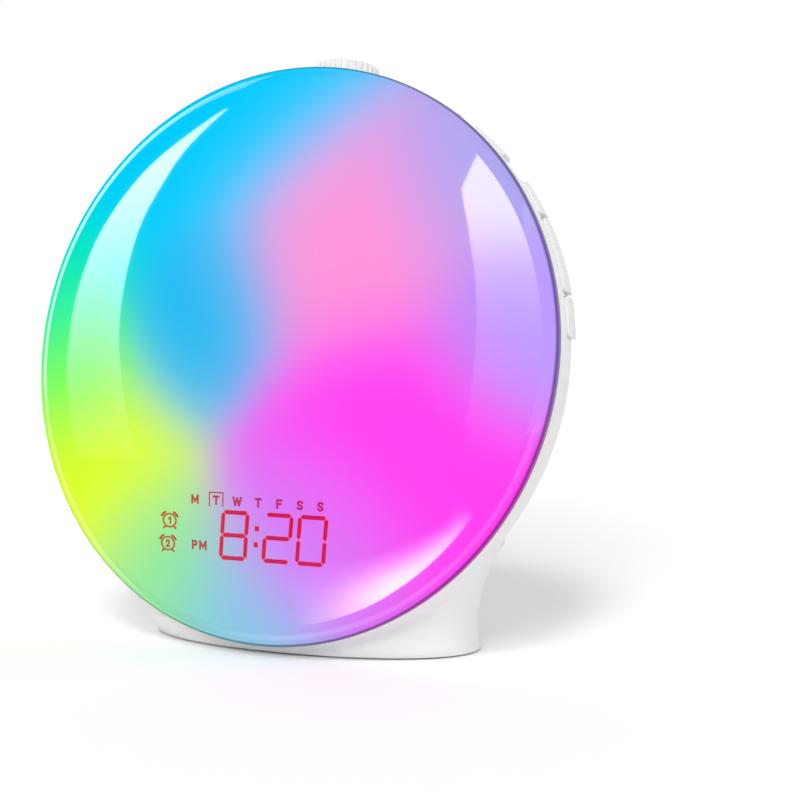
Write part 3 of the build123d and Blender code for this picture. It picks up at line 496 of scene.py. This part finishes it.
def make_housing():
    """The moulded shell with its posts and slots, with the soft corner laid over its one hard corner."""
    bm = merged_copy("main_housing")
    verts, faces = soft_corner()
    corner = [bm.verts.new(v) for v in verts]
    added = [bm.faces.new([corner[i] for i in face]) for face in faces]
    bmesh.ops.recalc_face_normals(bm, faces=added)
    mesh = bpy.data.meshes.new("housing_shell")
    bm.to_mesh(mesh)
    bm.free()
    mesh.materials.append(white_abs)
    mesh.shade_smooth()
    mesh.set_sharp_from_angle(angle=radians(28))
    corner_verts = np.empty(len(mesh.loops), int)
    mesh.loops.foreach_get("vertex_index", corner_verts)
    places = np.empty(len(mesh.vertices) * 3)
    mesh.vertices.foreach_get("co", places)
    places = places.reshape(-1, 3) / MM
    plain = np.array([n.vector for n in mesh.corner_normals])
    gaps = housing_gap(places)
    slopes = outward_slope(places)
    face_normals = np.empty(len(mesh.polygons) * 3)
    mesh.polygons.foreach_get("normal", face_normals)
    face_normals = face_normals.reshape(-1, 3)
    sizes = np.empty(len(mesh.polygons), int)
    mesh.polygons.foreach_get("loop_total", sizes)
    face_of = np.repeat(np.arange(len(mesh.polygons)), sizes)
    h = bowl_gap(places)[1]
    agree = (face_normals[face_of] * slopes[corner_verts]).sum(1) > 0.85
    outside = (np.abs(gaps) < OUTER_TOLERANCE + 0.6 * (places[:, 2] < 60)) & (h > DRUM_BACK_H + 0.05)
    use = outside[corner_verts] & agree
    plain[use] = slopes[corner_verts][use]
    mesh.normals_split_custom_set([tuple(n) for n in plain])
    obj = bpy.data.objects.new("housing_shell", mesh)
    scene.collection.objects.link(obj)
    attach(obj, "clock")
    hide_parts("main_housing")


make_housing()


# ---- keys and small mouldings ----
KEY_ROUND = 0.45         # width of the rounding on a key's edges
FLAT_ANGLE = 1.5         # triangles closer than this to one plane are joined, in degrees
ROUNDED_ANGLE = 40       # edges steeper than this are rounded


def softened(node, name, body):
    """A key from its CAD node, with its coplanar triangles joined and its edges rounded."""
    bm = merged_copy(node)
    bmesh.ops.dissolve_limit(bm, angle_limit=radians(FLAT_ANGLE), verts=bm.verts, edges=bm.edges)
    mesh = bpy.data.meshes.new(name)
    bm.to_mesh(mesh)
    bm.free()
    mesh.materials.append(key_abs)
    obj = bpy.data.objects.new(name, mesh)
    scene.collection.objects.link(obj)
    bevel = obj.modifiers.new("rounded_edges", "BEVEL")
    bevel.width = KEY_ROUND * MM
    bevel.segments = 3
    bevel.limit_method = "ANGLE"
    bevel.angle_limit = radians(ROUNDED_ANGLE)
    bevel.use_clamp_overlap = True
    bevel.harden_normals = False
    bpy.context.view_layer.update()
    rounded = bpy.data.meshes.new_from_object(obj.evaluated_get(bpy.context.evaluated_depsgraph_get()))
    obj.modifiers.clear()
    obj.data = rounded
    rounded.shade_smooth()
    rounded.set_sharp_from_angle(angle=radians(32))
    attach(obj, body)
    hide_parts(node)


for key in ("key_1", "key_2", "key_3", "key_5"):
    softened(key, key + "_cap", key)
softened("rocker_key", "rocker_cap", "rocker_key")

# ---- dial ----
DIAL_BOTTOM, DIAL_TOP, DIAL_H = 85.6, 92.72, -24.5
DIAL_RIBS = 29
DIAL_CORE_R = 9.45
DIAL_RIB_R = 0.6


def ribbed_wall():
    """Geometry Nodes tree: upright ribs set round a knob's wall."""
    tree = bpy.data.node_groups.new("ribbed_wall", "GeometryNodeTree")
    face = tree.interface
    face.new_socket("Geometry", in_out="INPUT", socket_type="NodeSocketGeometry")
    for name in ("Wall radius", "Rib radius", "Rib length"):
        face.new_socket(name, in_out="INPUT", socket_type="NodeSocketFloat")
    face.new_socket("Ribs", in_out="INPUT", socket_type="NodeSocketInt")
    face.new_socket("Finish", in_out="INPUT", socket_type="NodeSocketMaterial")
    face.new_socket("Geometry", in_out="OUTPUT", socket_type="NodeSocketGeometry")
    given = add_node(tree, "NodeGroupInput")
    circle = add_node(tree, "GeometryNodeMeshCircle", {"fill_type": "NONE"},
                      {"Vertices": given.outputs["Ribs"], "Radius": given.outputs["Wall radius"]})
    spine = add_node(tree, "ShaderNodeCombineXYZ", links={"Z": given.outputs["Rib length"]})
    line = add_node(tree, "GeometryNodeCurvePrimitiveLine", links={"End": spine.outputs[0]})
    fine = add_node(tree, "GeometryNodeResampleCurve", {"Count": 9}, {"Curve": line.outputs[0]})
    along = add_node(tree, "GeometryNodeSplineParameter")
    profile = add_node(tree, "ShaderNodeFloatCurve", links={"Value": along.outputs["Factor"]})
    points = profile.mapping.curves[0].points
    points[0].location, points[1].location = (0.0, 1.0), (1.0, 0.05)
    points.new(0.86, 1.0)
    points.new(0.95, 0.75)
    profile.mapping.update()
    rounded = add_node(tree, "GeometryNodeSetCurveRadius", links={"Curve": fine.outputs[0],
                                                                "Radius": profile.outputs[0]})
    section = add_node(tree, "GeometryNodeCurvePrimitiveCircle", {"Resolution": 12},
                       {"Radius": given.outputs["Rib radius"]})
    sweep = add_node(tree, "GeometryNodeCurveToMesh", {"Fill Caps": True},
                     {"Curve": rounded.outputs[0], "Profile Curve": section.outputs[0]})
    spread = add_node(tree, "GeometryNodeInstanceOnPoints", links={"Points": circle.outputs[0],
                                                                   "Instance": sweep.outputs[0]})
    join = add_node(tree, "GeometryNodeJoinGeometry")
    tree.links.new(given.outputs["Geometry"], join.inputs[0])
    tree.links.new(spread.outputs[0], join.inputs[0])
    real = add_node(tree, "GeometryNodeRealizeInstances", links={0: join.outputs[0]})
    smooth = add_node(tree, "GeometryNodeSetShadeSmooth", links={0: real.outputs[0]})
    finish = add_node(tree, "GeometryNodeSetMaterial", links={0: smooth.outputs[0],
                                                              "Material": given.outputs["Finish"]})
    out = add_node(tree, "NodeGroupOutput")
    tree.links.new(finish.outputs[0], out.inputs[0])
    return tree


def grow(obj, tree, values):
    """Run a Geometry Nodes tree on an object with named inputs and keep the result as its mesh."""
    modifier = obj.modifiers.new("grow", "NODES")
    modifier.node_group = tree
    sockets = {item.name: item.identifier for item in tree.interface.items_tree if item.in_out == "INPUT"}
    for name, value in values.items():
        modifier[sockets[name]] = value
    bpy.context.view_layer.update()
    grown = bpy.data.meshes.new_from_object(obj.evaluated_get(bpy.context.evaluated_depsgraph_get()))
    obj.modifiers.clear()
    obj.data = grown
    return grown


def make_dial():
    """Moulded knob: turned body with a rounded crown, hollow underneath, and ribs for the fingers."""
    low, high = DIAL_BOTTOM, DIAL_TOP
    crown = arc((DIAL_CORE_R - 0.9, high - 0.9), 0.9, 0, 90, 6)
    profile = [(3.05, low + 2.4), (3.05, high - 2.15), (0.02, high - 2.15), (0.02, high - 0.35), (5.5, high - 0.32),
               (6.6, high - 0.05), (7.2, high)] + crown[::-1] + [
        (DIAL_CORE_R, low + 0.25), (DIAL_CORE_R - 0.25, low), (7.6, low), (7.4, low + 0.2), (7.4, low + 2.6),
        (7.2, low + 2.8), (3.3, low + 2.8), (3.3, low + 2.4)]
    steps = 4 * DIAL_RIBS
    verts = []
    for step in range(steps):
        turn = 2 * pi * step / steps
        verts += [(r * cos(turn) * MM, r * sin(turn) * MM, z * MM) for r, z in profile]
    mesh = bpy.data.meshes.new("dial_cap")
    mesh.from_pydata(verts, [], ring_faces(len(profile), steps))
    bm = bmesh.new()
    bm.from_mesh(mesh)
    joined(bm, low)
    bm.to_mesh(mesh)
    bm.free()
    obj = bpy.data.objects.new("dial_cap", mesh)
    scene.collection.objects.link(obj)
    mesh = grow(obj, ribbed_wall(), {"Wall radius": DIAL_CORE_R * MM, "Rib radius": DIAL_RIB_R * MM,
                                     "Rib length": (high - low - 0.7) * MM, "Ribs": DIAL_RIBS,
                                     "Finish": key_abs})
    onto_head = Matrix.Translation(head(0, low, DIAL_H)) @ Matrix.Rotation(-TILT, 4, "X")
    mesh.transform(onto_head)
    mesh.set_sharp_from_angle(angle=radians(40))
    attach(obj, "dial_knob")
    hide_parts("dial_knob")


make_dial()

# ---- display: light bars under the skin ----
HALO_LIFT = 0.02
HALO_W = 0.28
DIGIT_TOP_Y, DIGIT_LOW_Y, DIGIT_W, BAR_W = -48.2, -61.3, 8.1, 1.18
DIGIT_SLANT = 0.096
DIGITS = ((-6.05, "abcdefg"), (8.15, "abged"), (18.9, "abcdef"))
COLON = ((1.6, -52.4), (1.1, -57.0))
DAYS = "MTWTFSS"
DAY_X = (-19.4, -12.05, -4.9, 2.05, 8.8, 15.35, 21.7)
DAY_Y = -45.0
MERIDIEM = (-18.1, -58.2)
ALARMS = ((-28.6, -51.6, "1"), (-29.4, -58.35, "2"))
ALARM_WIDE, ALARM_TALL = 1.12, 0.92
LETTER_H, LETTER_W = 2.75, 0.66
NUMBER_H, NUMBER_W = 2.3, 0.56
BAR_INSET = 0.15
DOT_HALF = 0.65
BAR_DEPTH, HALO_DEPTH = 0.25, 0.2


def bar_outline(x0, y0, x1, y1, width, grow):
    """Outline of a straight light bar with chamfered ends."""
    along = Vector((x1 - x0, y1 - y0)).normalized()
    across = Vector((-along.y, along.x))
    half = width / 2 + grow
    start, end = Vector((x0, y0)) - along * grow, Vector((x1, y1)) + along * grow
    nose = width * 0.5
    points = []
    for point, sign in ((end, 1), (start, -1)):
        for turn in (pi / 2, 0, -pi / 2):
            points.append(point + along * (sign * (nose * cos(turn) - nose)) + across * (sign * half * sin(turn)))
    return [tuple(p) for p in points]


def digit_bars(x, lit, grow):
    """Outlines of a digit's lit bars, slanted about its middle."""
    left, right = x - DIGIT_W / 2, x + DIGIT_W / 2
    middle = (DIGIT_TOP_Y + DIGIT_LOW_Y) / 2
    lines = {}
    for name, y in (("a", DIGIT_TOP_Y), ("g", middle), ("d", DIGIT_LOW_Y)):
        lines[name] = (left + BAR_INSET, y, right - BAR_INSET, y)
    for name, side, low, top in (("f", left, middle, DIGIT_TOP_Y), ("b", right, middle, DIGIT_TOP_Y),
                                 ("e", left, DIGIT_LOW_Y, middle), ("c", right, DIGIT_LOW_Y, middle)):
        lines[name] = (side, low + BAR_INSET, side, top - BAR_INSET)
    outlines = [bar_outline(*lines[name], BAR_W, grow) for name in lit]
    return [[(px + DIGIT_SLANT * (py - middle), py) for px, py in outline] for outline in outlines]


def ring_sector(r_in, r_out, start, end, steps):
    """Quads of a ring's sector, between two angles in degrees."""
    quads = []
    for i in range(steps):
        a, b = (radians(start + (end - start) * k / steps) for k in (i, i + 1))
        quads.append([(r * cos(t), r * sin(t)) for r, t in ((r_in, a), (r_out, a), (r_out, b), (r_in, b))])
    return quads


STROKES = {   # width and strokes of each sign, in a box one unit high
    "M": (0.96, [[(0, 0), (0, 1)], [(0, 1), (0.5, 0.25), (1, 1)], [(1, 1), (1, 0)]]),
    "T": (0.76, [[(0, 1), (1, 1)], [(0.5, 1), (0.5, 0)]]),
    "W": (1.2, [[(0, 1), (0.25, 0)], [(0.25, 0), (0.5, 0.9)], [(0.5, 0.9), (0.75, 0)], [(0.75, 0), (1, 1)]]),
    "F": (0.62, [[(0, 0), (0, 1), (1, 1)], [(0, 0.5), (0.86, 0.5)]]),
    "S": (0.66, [[(1, 0.86), (0.78, 0.98), (0.45, 1.0), (0.12, 0.9), (0.03, 0.72), (0.18, 0.57), (0.5, 0.5),
                  (0.82, 0.42), (0.97, 0.27), (0.88, 0.1), (0.55, 0.0), (0.2, 0.02), (0, 0.15)]]),
    "P": (0.66, [[(0, 0), (0, 1), (0.6, 1), (0.88, 0.93), (1, 0.75), (0.88, 0.56), (0.6, 0.49), (0, 0.49)]]),
    "1": (0.3, [[(0, 0.78), (1, 1), (1, 0)]]),
    "2": (0.6, [[(0, 0.78), (0.15, 0.95), (0.5, 1.0), (0.88, 0.93), (1.0, 0.74), (0.85, 0.5), (0, 0), (1, 0)]]),
}


def stroke_faces(points, width):
    """Quads of a line of even width through points."""
    points = [Vector(p) for p in points]
    sides = []
    for i, point in enumerate(points):
        before = (point - points[i - 1]).normalized() if i else None
        after = (points[i + 1] - point).normalized() if i + 1 < len(points) else None
        heading = ((before or after) + (after or before)).normalized()
        along = before or after
        stretch = min(1.9, 1 / max(0.35, abs(heading.dot(along))))
        across = Vector((-heading.y, heading.x)) * (width / 2 * stretch)
        end = Vector((0, 0))
        if before is None:
            end = -after * width / 2
        if after is None:
            end = before * width / 2
        sides.append((tuple(point + across + end), tuple(point - across + end)))
    return [[sides[i][0], sides[i][1], sides[i + 1][1], sides[i + 1][0]] for i in range(len(sides) - 1)]


def sign(text, x, y, height, width):
    """Faces of a row of plain signs centred at x, y."""
    tall = height - width
    gap = 0.2 * height
    total = sum(STROKES[c][0] * tall for c in text) + (gap + width) * (len(text) - 1)
    left = x - total / 2
    shapes = []
    for c in text:
        wide = STROKES[c][0] * tall
        for line in STROKES[c][1]:
            shapes.append(stroke_faces([(left + u * wide, y - tall / 2 + v * tall) for u, v in line], width))
        left += wide + width + gap
    return shapes


def alarm_mark(x, y, number):
    """A small alarm clock: ring, two bells, two feet and its number."""
    shapes = [ring_sector(1.8, 2.32, 0, 360, 40)]
    for side in (-1, 1):
        shapes.append(ring_sector(2.5, 3.25, 90 - side * 68, 90 - side * 24, 8))
        foot_x, foot_y = side * 1.45, -2.0
        shapes.append(stroke_faces([(foot_x, foot_y), (foot_x + side * 0.4, foot_y - 0.35)], 0.6))
    shapes = [[[(x + ALARM_WIDE * px, y + ALARM_TALL * py) for px, py in quad] for quad in shape]
              for shape in shapes]
    return shapes + sign(number, x, y, NUMBER_H, NUMBER_W)


def day_bracket(x, y):
    """The open frame round the day that is on."""
    half, top, low = 2.32, 2.2, -1.6
    corners = [(x - half, y + low), (x - half, y + top), (x + half, y + top), (x + half, y + low)]
    return [stroke_faces(corners, 0.4)]


def lay_on_dome(name, shapes, lift, depth, material):
    """Raise flat shapes, each a list of faces, into thin bars that follow the dome's face."""
    verts, faces = [], []
    for shape in shapes:
        flat = bmesh.new()
        for outline in shape:
            flat.faces.new([flat.verts.new((px, py, 0)) for px, py in outline])
        bmesh.ops.remove_doubles(flat, verts=flat.verts, dist=0.002)
        for face in flat.faces:
            if face.normal.z < 0:
                face.normal_flip()
        flat.verts.index_update()
        start = len(verts)
        count = len(flat.verts)
        tops = [(v.co.x, v.co.y, dome_h(v.co.xy.length) + lift) for v in flat.verts]
        verts += [head(*top) for top in tops]
        verts += [head(px, py, h - depth) for px, py, h in tops]
        for face in flat.faces:
            ring = [start + v.index for v in face.verts]
            faces.append(ring)
            faces.append([i + count for i in ring[::-1]])
        for edge in (e for e in flat.edges if e.is_boundary):
            loop = edge.link_loops[0]
            a, b = loop.vert.index + start, loop.link_loop_next.vert.index + start
            faces.append([b, a, a + count, b + count])
        flat.free()
    mesh = bpy.data.meshes.new(name)
    mesh.from_pydata([tuple(v) for v in verts], [], faces)
    mesh.shade_smooth()
    mesh.set_sharp_from_angle(angle=radians(SHARP_ANGLE))
    mesh.materials.append(material)
    obj = bpy.data.objects.new(name, mesh)
    scene.collection.objects.link(obj)
    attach(obj, "clock")


def make_display():
    """The time, a soft glow round its bars, the days, PM and the two alarms."""
    bars, halos = [], []
    for x, lit in DIGITS:
        bars += [[outline] for outline in digit_bars(x, lit, 0.0)]
        halos += [[outline] for outline in digit_bars(x, lit, HALO_W)]
    for x, y in COLON:
        for half, shapes in ((DOT_HALF, bars), (DOT_HALF + HALO_W, halos)):
            shapes.append([[(x - half, y - half), (x + half, y - half), (x + half, y + half), (x - half, y + half)]])
    lay_on_dome("time_figures", bars, MARK_LIFT, BAR_DEPTH, figures_red)
    lay_on_dome("time_figures_glow", halos, HALO_LIFT, HALO_DEPTH, figures_halo)
    marks = [shape for day, x in zip(DAYS, DAY_X) for shape in sign(day, x, DAY_Y, LETTER_H, LETTER_W)]
    marks += day_bracket(DAY_X[1], DAY_Y)
    marks += sign("PM", *MERIDIEM, LETTER_H, LETTER_W)
    for x, y, number in ALARMS:
        marks += alarm_mark(x, y, number)
    lay_on_dome("day_and_alarm_marks", marks, MARK_LIFT - 0.01, BAR_DEPTH, marks_red)


make_display()


# ---- stage ----
def stage_piece(name, verts, faces, material):
    """A piece of the stage, which is no part of the clock."""
    mesh = bpy.data.meshes.new(name)
    mesh.from_pydata([tuple(v) for v in verts], [], faces)
    mesh.materials.append(material)
    obj = bpy.data.objects.new(name, mesh)
    scene.collection.objects.link(obj)
    return obj


def matt_white_floor():
    """Matt white paper sweep: white to the eye, and it keeps the clock's shadow."""
    material, tree = bare_material("matt_white_paper")
    paper = add_node(tree, "ShaderNodeBsdfDiffuse", {"Color": (0.985, 0.985, 0.985, 1)})
    rays = add_node(tree, "ShaderNodeLightPath")
    lift = add_node(tree, "ShaderNodeMath", {"operation": "MULTIPLY", 1: FLOOR_LIFT},
                    {0: rays.outputs["Is Camera Ray"]})
    glow = add_node(tree, "ShaderNodeEmission", {"Color": (1, 1, 1, 1)}, {"Strength": lift.outputs[0]})
    both = add_node(tree, "ShaderNodeAddShader", links={0: paper.outputs[0], 1: glow.outputs[0]})
    add_node(tree, "ShaderNodeOutputMaterial", links={"Surface": both.outputs[0]})
    return material


FLOOR = 9.0
FLOOR_LIFT = 0.035       # keeps the paper plain white to the camera without more light on the clock
stage_piece("floor", [(-FLOOR, -FLOOR, 0), (FLOOR, -FLOOR, 0), (FLOOR, FLOOR, 0), (-FLOOR, FLOOR, 0)],
            [(0, 1, 2, 3)], matt_white_floor())

CAMERA_AT = HEAD_CENTRE + Vector((0.2822, -0.5164, 0.0306))
CAMERA_LOOK = Vector((-0.4268, 0.9012, -0.0757))


def reflected(x, y, level):
    """Where a mirror ray from the camera, off the dome at x, y, meets a level plane."""
    point = head(x, y, dome_h(min(sqrt(x * x + y * y), CREASE_R)))
    normal = (point - head(0, 0, APEX_H - DOME_BALL)).normalized()
    look = (point - CAMERA_AT).normalized()
    ray = look - 2 * look.dot(normal) * normal
    return point + ray * ((level - point.z) / ray.z)


def smooth(points, steps):
    """Points of a soft curve that passes through all the given points, of any number of values."""
    rows = [np.array(p, float) for p in points]
    rows = [2 * rows[0] - rows[1]] + rows + [2 * rows[-1] - rows[-2]]
    curve = []
    for before, start, end, after in zip(rows, rows[1:], rows[2:], rows[3:]):
        for t in np.arange(steps) / steps:
            curve.append(0.5 * (2 * start + (end - before) * t + (2 * before - 5 * start + 4 * end - after) * t**2
                                + (3 * start - before - 3 * end + after) * t**3))
    return curve + [rows[-2]]


def card_light(name, verts, faces, levels, top):
    """Soft light card that only glossy faces see; levels are its brightness at each corner."""
    material, tree = bare_material(name)
    level = add_node(tree, "ShaderNodeAttribute", {"attribute_name": "level"})
    scaled = add_node(tree, "ShaderNodeMath", {"operation": "MULTIPLY", 1: top}, {0: level.outputs["Fac"]})
    glow = add_node(tree, "ShaderNodeEmission", {"Color": (1, 1, 1, 1)}, {"Strength": scaled.outputs[0]})
    clear = add_node(tree, "ShaderNodeBsdfTransparent")
    both = add_node(tree, "ShaderNodeAddShader", links={0: glow.outputs[0], 1: clear.outputs[0]})
    add_node(tree, "ShaderNodeOutputMaterial", links={"Surface": both.outputs[0]})
    obj = stage_piece(name, verts, faces, material)
    attribute = obj.data.attributes.new("level", "FLOAT", "POINT")
    attribute.data.foreach_set("value", levels)
    only_glossy(obj)


def only_glossy(obj):
    """Let only reflections see a piece of the stage."""
    obj.visible_camera = False
    obj.visible_diffuse = False
    obj.visible_transmission = False
    obj.visible_volume_scatter = False
    obj.visible_shadow = False


def ribbon_faces(count, width=2):
    """Faces between count rungs of width points each."""
    return [(width * i + k, width * (i + 1) + k, width * (i + 1) + k + 1, width * i + k + 1)
            for i in range(count - 1) for k in range(width - 1)]


# Left strip light, a bowed banner: depth and height of its two edges in metres, and its brightness.
STRIP_X = -1.0
STRIP = ((-0.59, 1.20, -0.61, 1.23, 0.6), (-0.52, 1.01, -0.57, 1.05, 0.93), (-0.46, 0.86, -0.55, 0.92, 1.0),
         (-0.42, 0.74, -0.55, 0.82, 0.94), (-0.39, 0.60, -0.55, 0.69, 0.79), (-0.38, 0.49, -0.57, 0.58, 0.61),
         (-0.39, 0.37, -0.61, 0.45, 0.44), (-0.41, 0.29, -0.65, 0.35, 0.33), (-0.43, 0.21, -0.70, 0.26, 0.19),
         (-0.46, 0.15, -0.74, 0.19, 0.11), (-0.49, 0.08, -0.79, 0.11, 0.07), (-0.53, 0.02, -0.85, 0.03, 0.03))
strip, strip_levels = [], []
for near_y, near_z, far_y, far_z, level in smooth(STRIP, 6):
    strip += [(STRIP_X, near_y, near_z), (STRIP_X, far_y, far_z)]
    strip_levels += [level, level]
card_light("left_strip_light", strip, ribbon_faces(len(strip_levels) // 2), strip_levels, 11.2)

# Right window light: across and height of its left edge in metres, and its brightness.
WINDOW_Y, WINDOW_END = -1.2, 0.62
WINDOW_TOP = ((0.045, 1.46, 1.0), (0.03, 1.34, 1.0), (0.01, 1.18, 1.0))
WINDOW = ((0.01, 1.18, 1.0), (0.035, 1.09, 0.96), (0.065, 0.99, 0.82), (0.095, 0.87, 0.57), (0.12, 0.77, 0.37),
          (0.14, 0.64, 0.23), (0.15, 0.53, 0.16), (0.15, 0.40, 0.1), (0.14, 0.25, 0.05), (0.12, 0.1, 0.0))
window, window_levels = [], []
for edge_x, edge_z, level in smooth(WINDOW_TOP, 5) + smooth(WINDOW, 5)[1:]:
    window += [(edge_x, WINDOW_Y, edge_z), (WINDOW_END, WINDOW_Y, edge_z)]
    window_levels += [level, level]
card_light("right_window_light", window, ribbon_faces(len(window_levels) // 2), window_levels, 8.3)

# Low bounce card on the table in front of the clock: how far out on the face its reflection reaches and its
# brightness by angle, and how it fades up the dome.
BOUNCE_TURNS = ((-83, 80.7, 0.0), (-80.1, 80.6, 0.02), (-74.5, 80.3, 0.17), (-68.9, 80.2, 0.38), (-63.1, 80.1, 0.74),
                (-57.1, 79.8, 1.0), (-50.8, 79.6, 0.92), (-44, 79.4, 0.7), (-40.3, 79.3, 0.5), (-36.4, 79.2, 0.2),
                (-33.5, 79.1, 0.0))
BOUNCE_ROWS = ((0.0, 1.0), (0.35, 0.96), (0.7, 0.75), (1.0, 0.5), (1.4, 0.24), (1.8, 0.09), (2.3, 0.0))
bounce, bounce_levels = [], []
angles = smooth(BOUNCE_TURNS, 3)
for angle, outer, along in angles:
    turn = radians(angle)
    reach = 2.4 + 0.155 * max(0, -40 - angle)
    for step, level in BOUNCE_ROWS:
        flat = outer - step * reach
        bounce.append(reflected(flat * cos(turn), flat * sin(turn), 0.0015))
        bounce_levels.append(level * max(along, 0))
card_light("low_bounce_card", bounce, ribbon_faces(len(angles), len(BOUNCE_ROWS)), bounce_levels, 15.0)

# Thin light line on the table round the foot of the clock, which the rolled edge picks up: its place, half
# width and level.
FOOT_LINE = ((-0.03, -0.038, 0.0035, 0.0), (-0.005, -0.039, 0.0035, 0.8), (0.012, -0.0395, 0.0035, 1.0),
             (0.044, -0.044, 0.005, 1.0), (0.064, -0.050, 0.008, 0.9), (0.091, -0.060, 0.013, 0.8),
             (0.138, -0.082, 0.024, 0.8), (0.253, -0.14, 0.06, 0.8), (0.6, -0.34, 0.16, 0.6))
FOOT_ROWS = ((-1.0, 0.0), (-0.5, 0.5), (0.0, 1.0), (0.5, 0.5), (1.0, 0.0))
foot, foot_levels = [], []
rungs = smooth(FOOT_LINE, 4)
for across, along, half, level in rungs:
    for step, share in FOOT_ROWS:
        foot.append((across, along + step * half, 0.0018))
        foot_levels.append(share * max(level, 0))
card_light("foot_light_line", foot, ribbon_faces(len(rungs), len(FOOT_ROWS)), foot_levels, 1.6)


def black_flags():
    """Black velvet screens round the camera, so that the glossy dome keeps its colour."""
    material, tree = bare_material("black_velvet")
    velvet = add_node(tree, "ShaderNodeBsdfDiffuse", {"Color": (0.004, 0.004, 0.004, 1)})
    add_node(tree, "ShaderNodeOutputMaterial", links={"Surface": velvet.outputs[0]})
    look = Vector((-0.42, -0.88, 0.2)).normalized()
    side = look.cross(Vector((0, 0, 1))).normalized()
    rise = side.cross(look)
    middle = look * 1.7
    corners = [middle + side * (2.4 * u) + rise * (1.9 * v - 0.1) for u, v in ((-1, -1), (1, -1), (1, 1), (-1, 1))]
    only_glossy(stage_piece("black_flag", corners, [(0, 1, 2, 3)], material))
    table = [(-3.6, -3.2, 0.001), (1.6, -2.2, 0.001), (0.35, -0.03, 0.001), (-0.35, -0.03, 0.001),
             (-3.6, -0.03, 0.001)]
    only_glossy(stage_piece("black_table_cloth", table, [(0, 1, 2, 3, 4)], material))
    ceiling = [(-1.5, -1.2, 2.0), (1.5, -1.2, 2.0), (1.5, 1.6, 2.0), (-1.5, 1.6, 2.0)]
    only_glossy(stage_piece("black_ceiling_flag", ceiling, [(0, 1, 2, 3)], material))


black_flags()

# White card on the left behind the clock: it draws the bright line along the rolled edge, and fades upwards.
BACK_CARD_X = -1.3
BACK_CARD = ((-0.1, 1.0), (0.5, 1.0), (0.9, 0.7), (1.3, 0.2), (1.7, 0.0))
back = [(BACK_CARD_X, y, z) for z, _ in BACK_CARD for y in (-0.05, 2.2)]
back_levels = [level for _, level in BACK_CARD for _ in (0, 1)]
card_light("left_back_card", back, ribbon_faces(len(BACK_CARD)), back_levels, 1.45)

world = bpy.data.worlds.new("studio")
scene.world = world
world.use_nodes = True
sky = world.node_tree
sky.nodes.clear()
rays = add_node(sky, "ShaderNodeLightPath")
seen = add_node(sky, "ShaderNodeMath", {"operation": "MAXIMUM"},
                {0: rays.outputs["Is Camera Ray"], 1: rays.outputs["Is Glossy Ray"]})
seen = add_node(sky, "ShaderNodeMath", {"operation": "MAXIMUM"},
                {0: seen.outputs[0], 1: rays.outputs["Is Transmission Ray"]})
fill = add_node(sky, "ShaderNodeBackground", {"Color": (1, 1, 1, 1), "Strength": 0.63})
white = add_node(sky, "ShaderNodeBackground", {"Color": (1, 1, 1, 1), "Strength": 1.0})
choice = add_node(sky, "ShaderNodeMixShader", links={0: seen.outputs[0], 1: fill.outputs[0], 2: white.outputs[0]})
add_node(sky, "ShaderNodeOutputWorld", links={"Surface": choice.outputs[0]})

for name, energy, spread, travel in (("front_softbox", 0.85, 14, (-0.2, 0.852, -0.484)),
                                     ("high_softbox", 0.98, 12, (-0.16, 0.676, -0.719)),
                                     ("side_softbox", 0.12, 44, (-0.9, -0.15, -0.2))):
    sun_data = bpy.data.lights.new(name, "SUN")
    sun_data.energy = energy
    sun_data.angle = radians(spread)
    sun = bpy.data.objects.new(name, sun_data)
    sun.rotation_euler = Vector(travel).to_track_quat("-Z", "Y").to_euler()
    sun.visible_glossy = False
    scene.collection.objects.link(sun)

# ---- camera ----
camera_data = bpy.data.cameras.new("camera")
camera_data.lens = 90
camera_data.sensor_width = 36
camera = bpy.data.objects.new("camera", camera_data)
scene.collection.objects.link(camera)
camera.location = CAMERA_AT
camera.rotation_euler = CAMERA_LOOK.to_track_quat("-Z", "Y").to_euler()
scene.camera = camera

scene.view_settings.view_transform = "Standard"
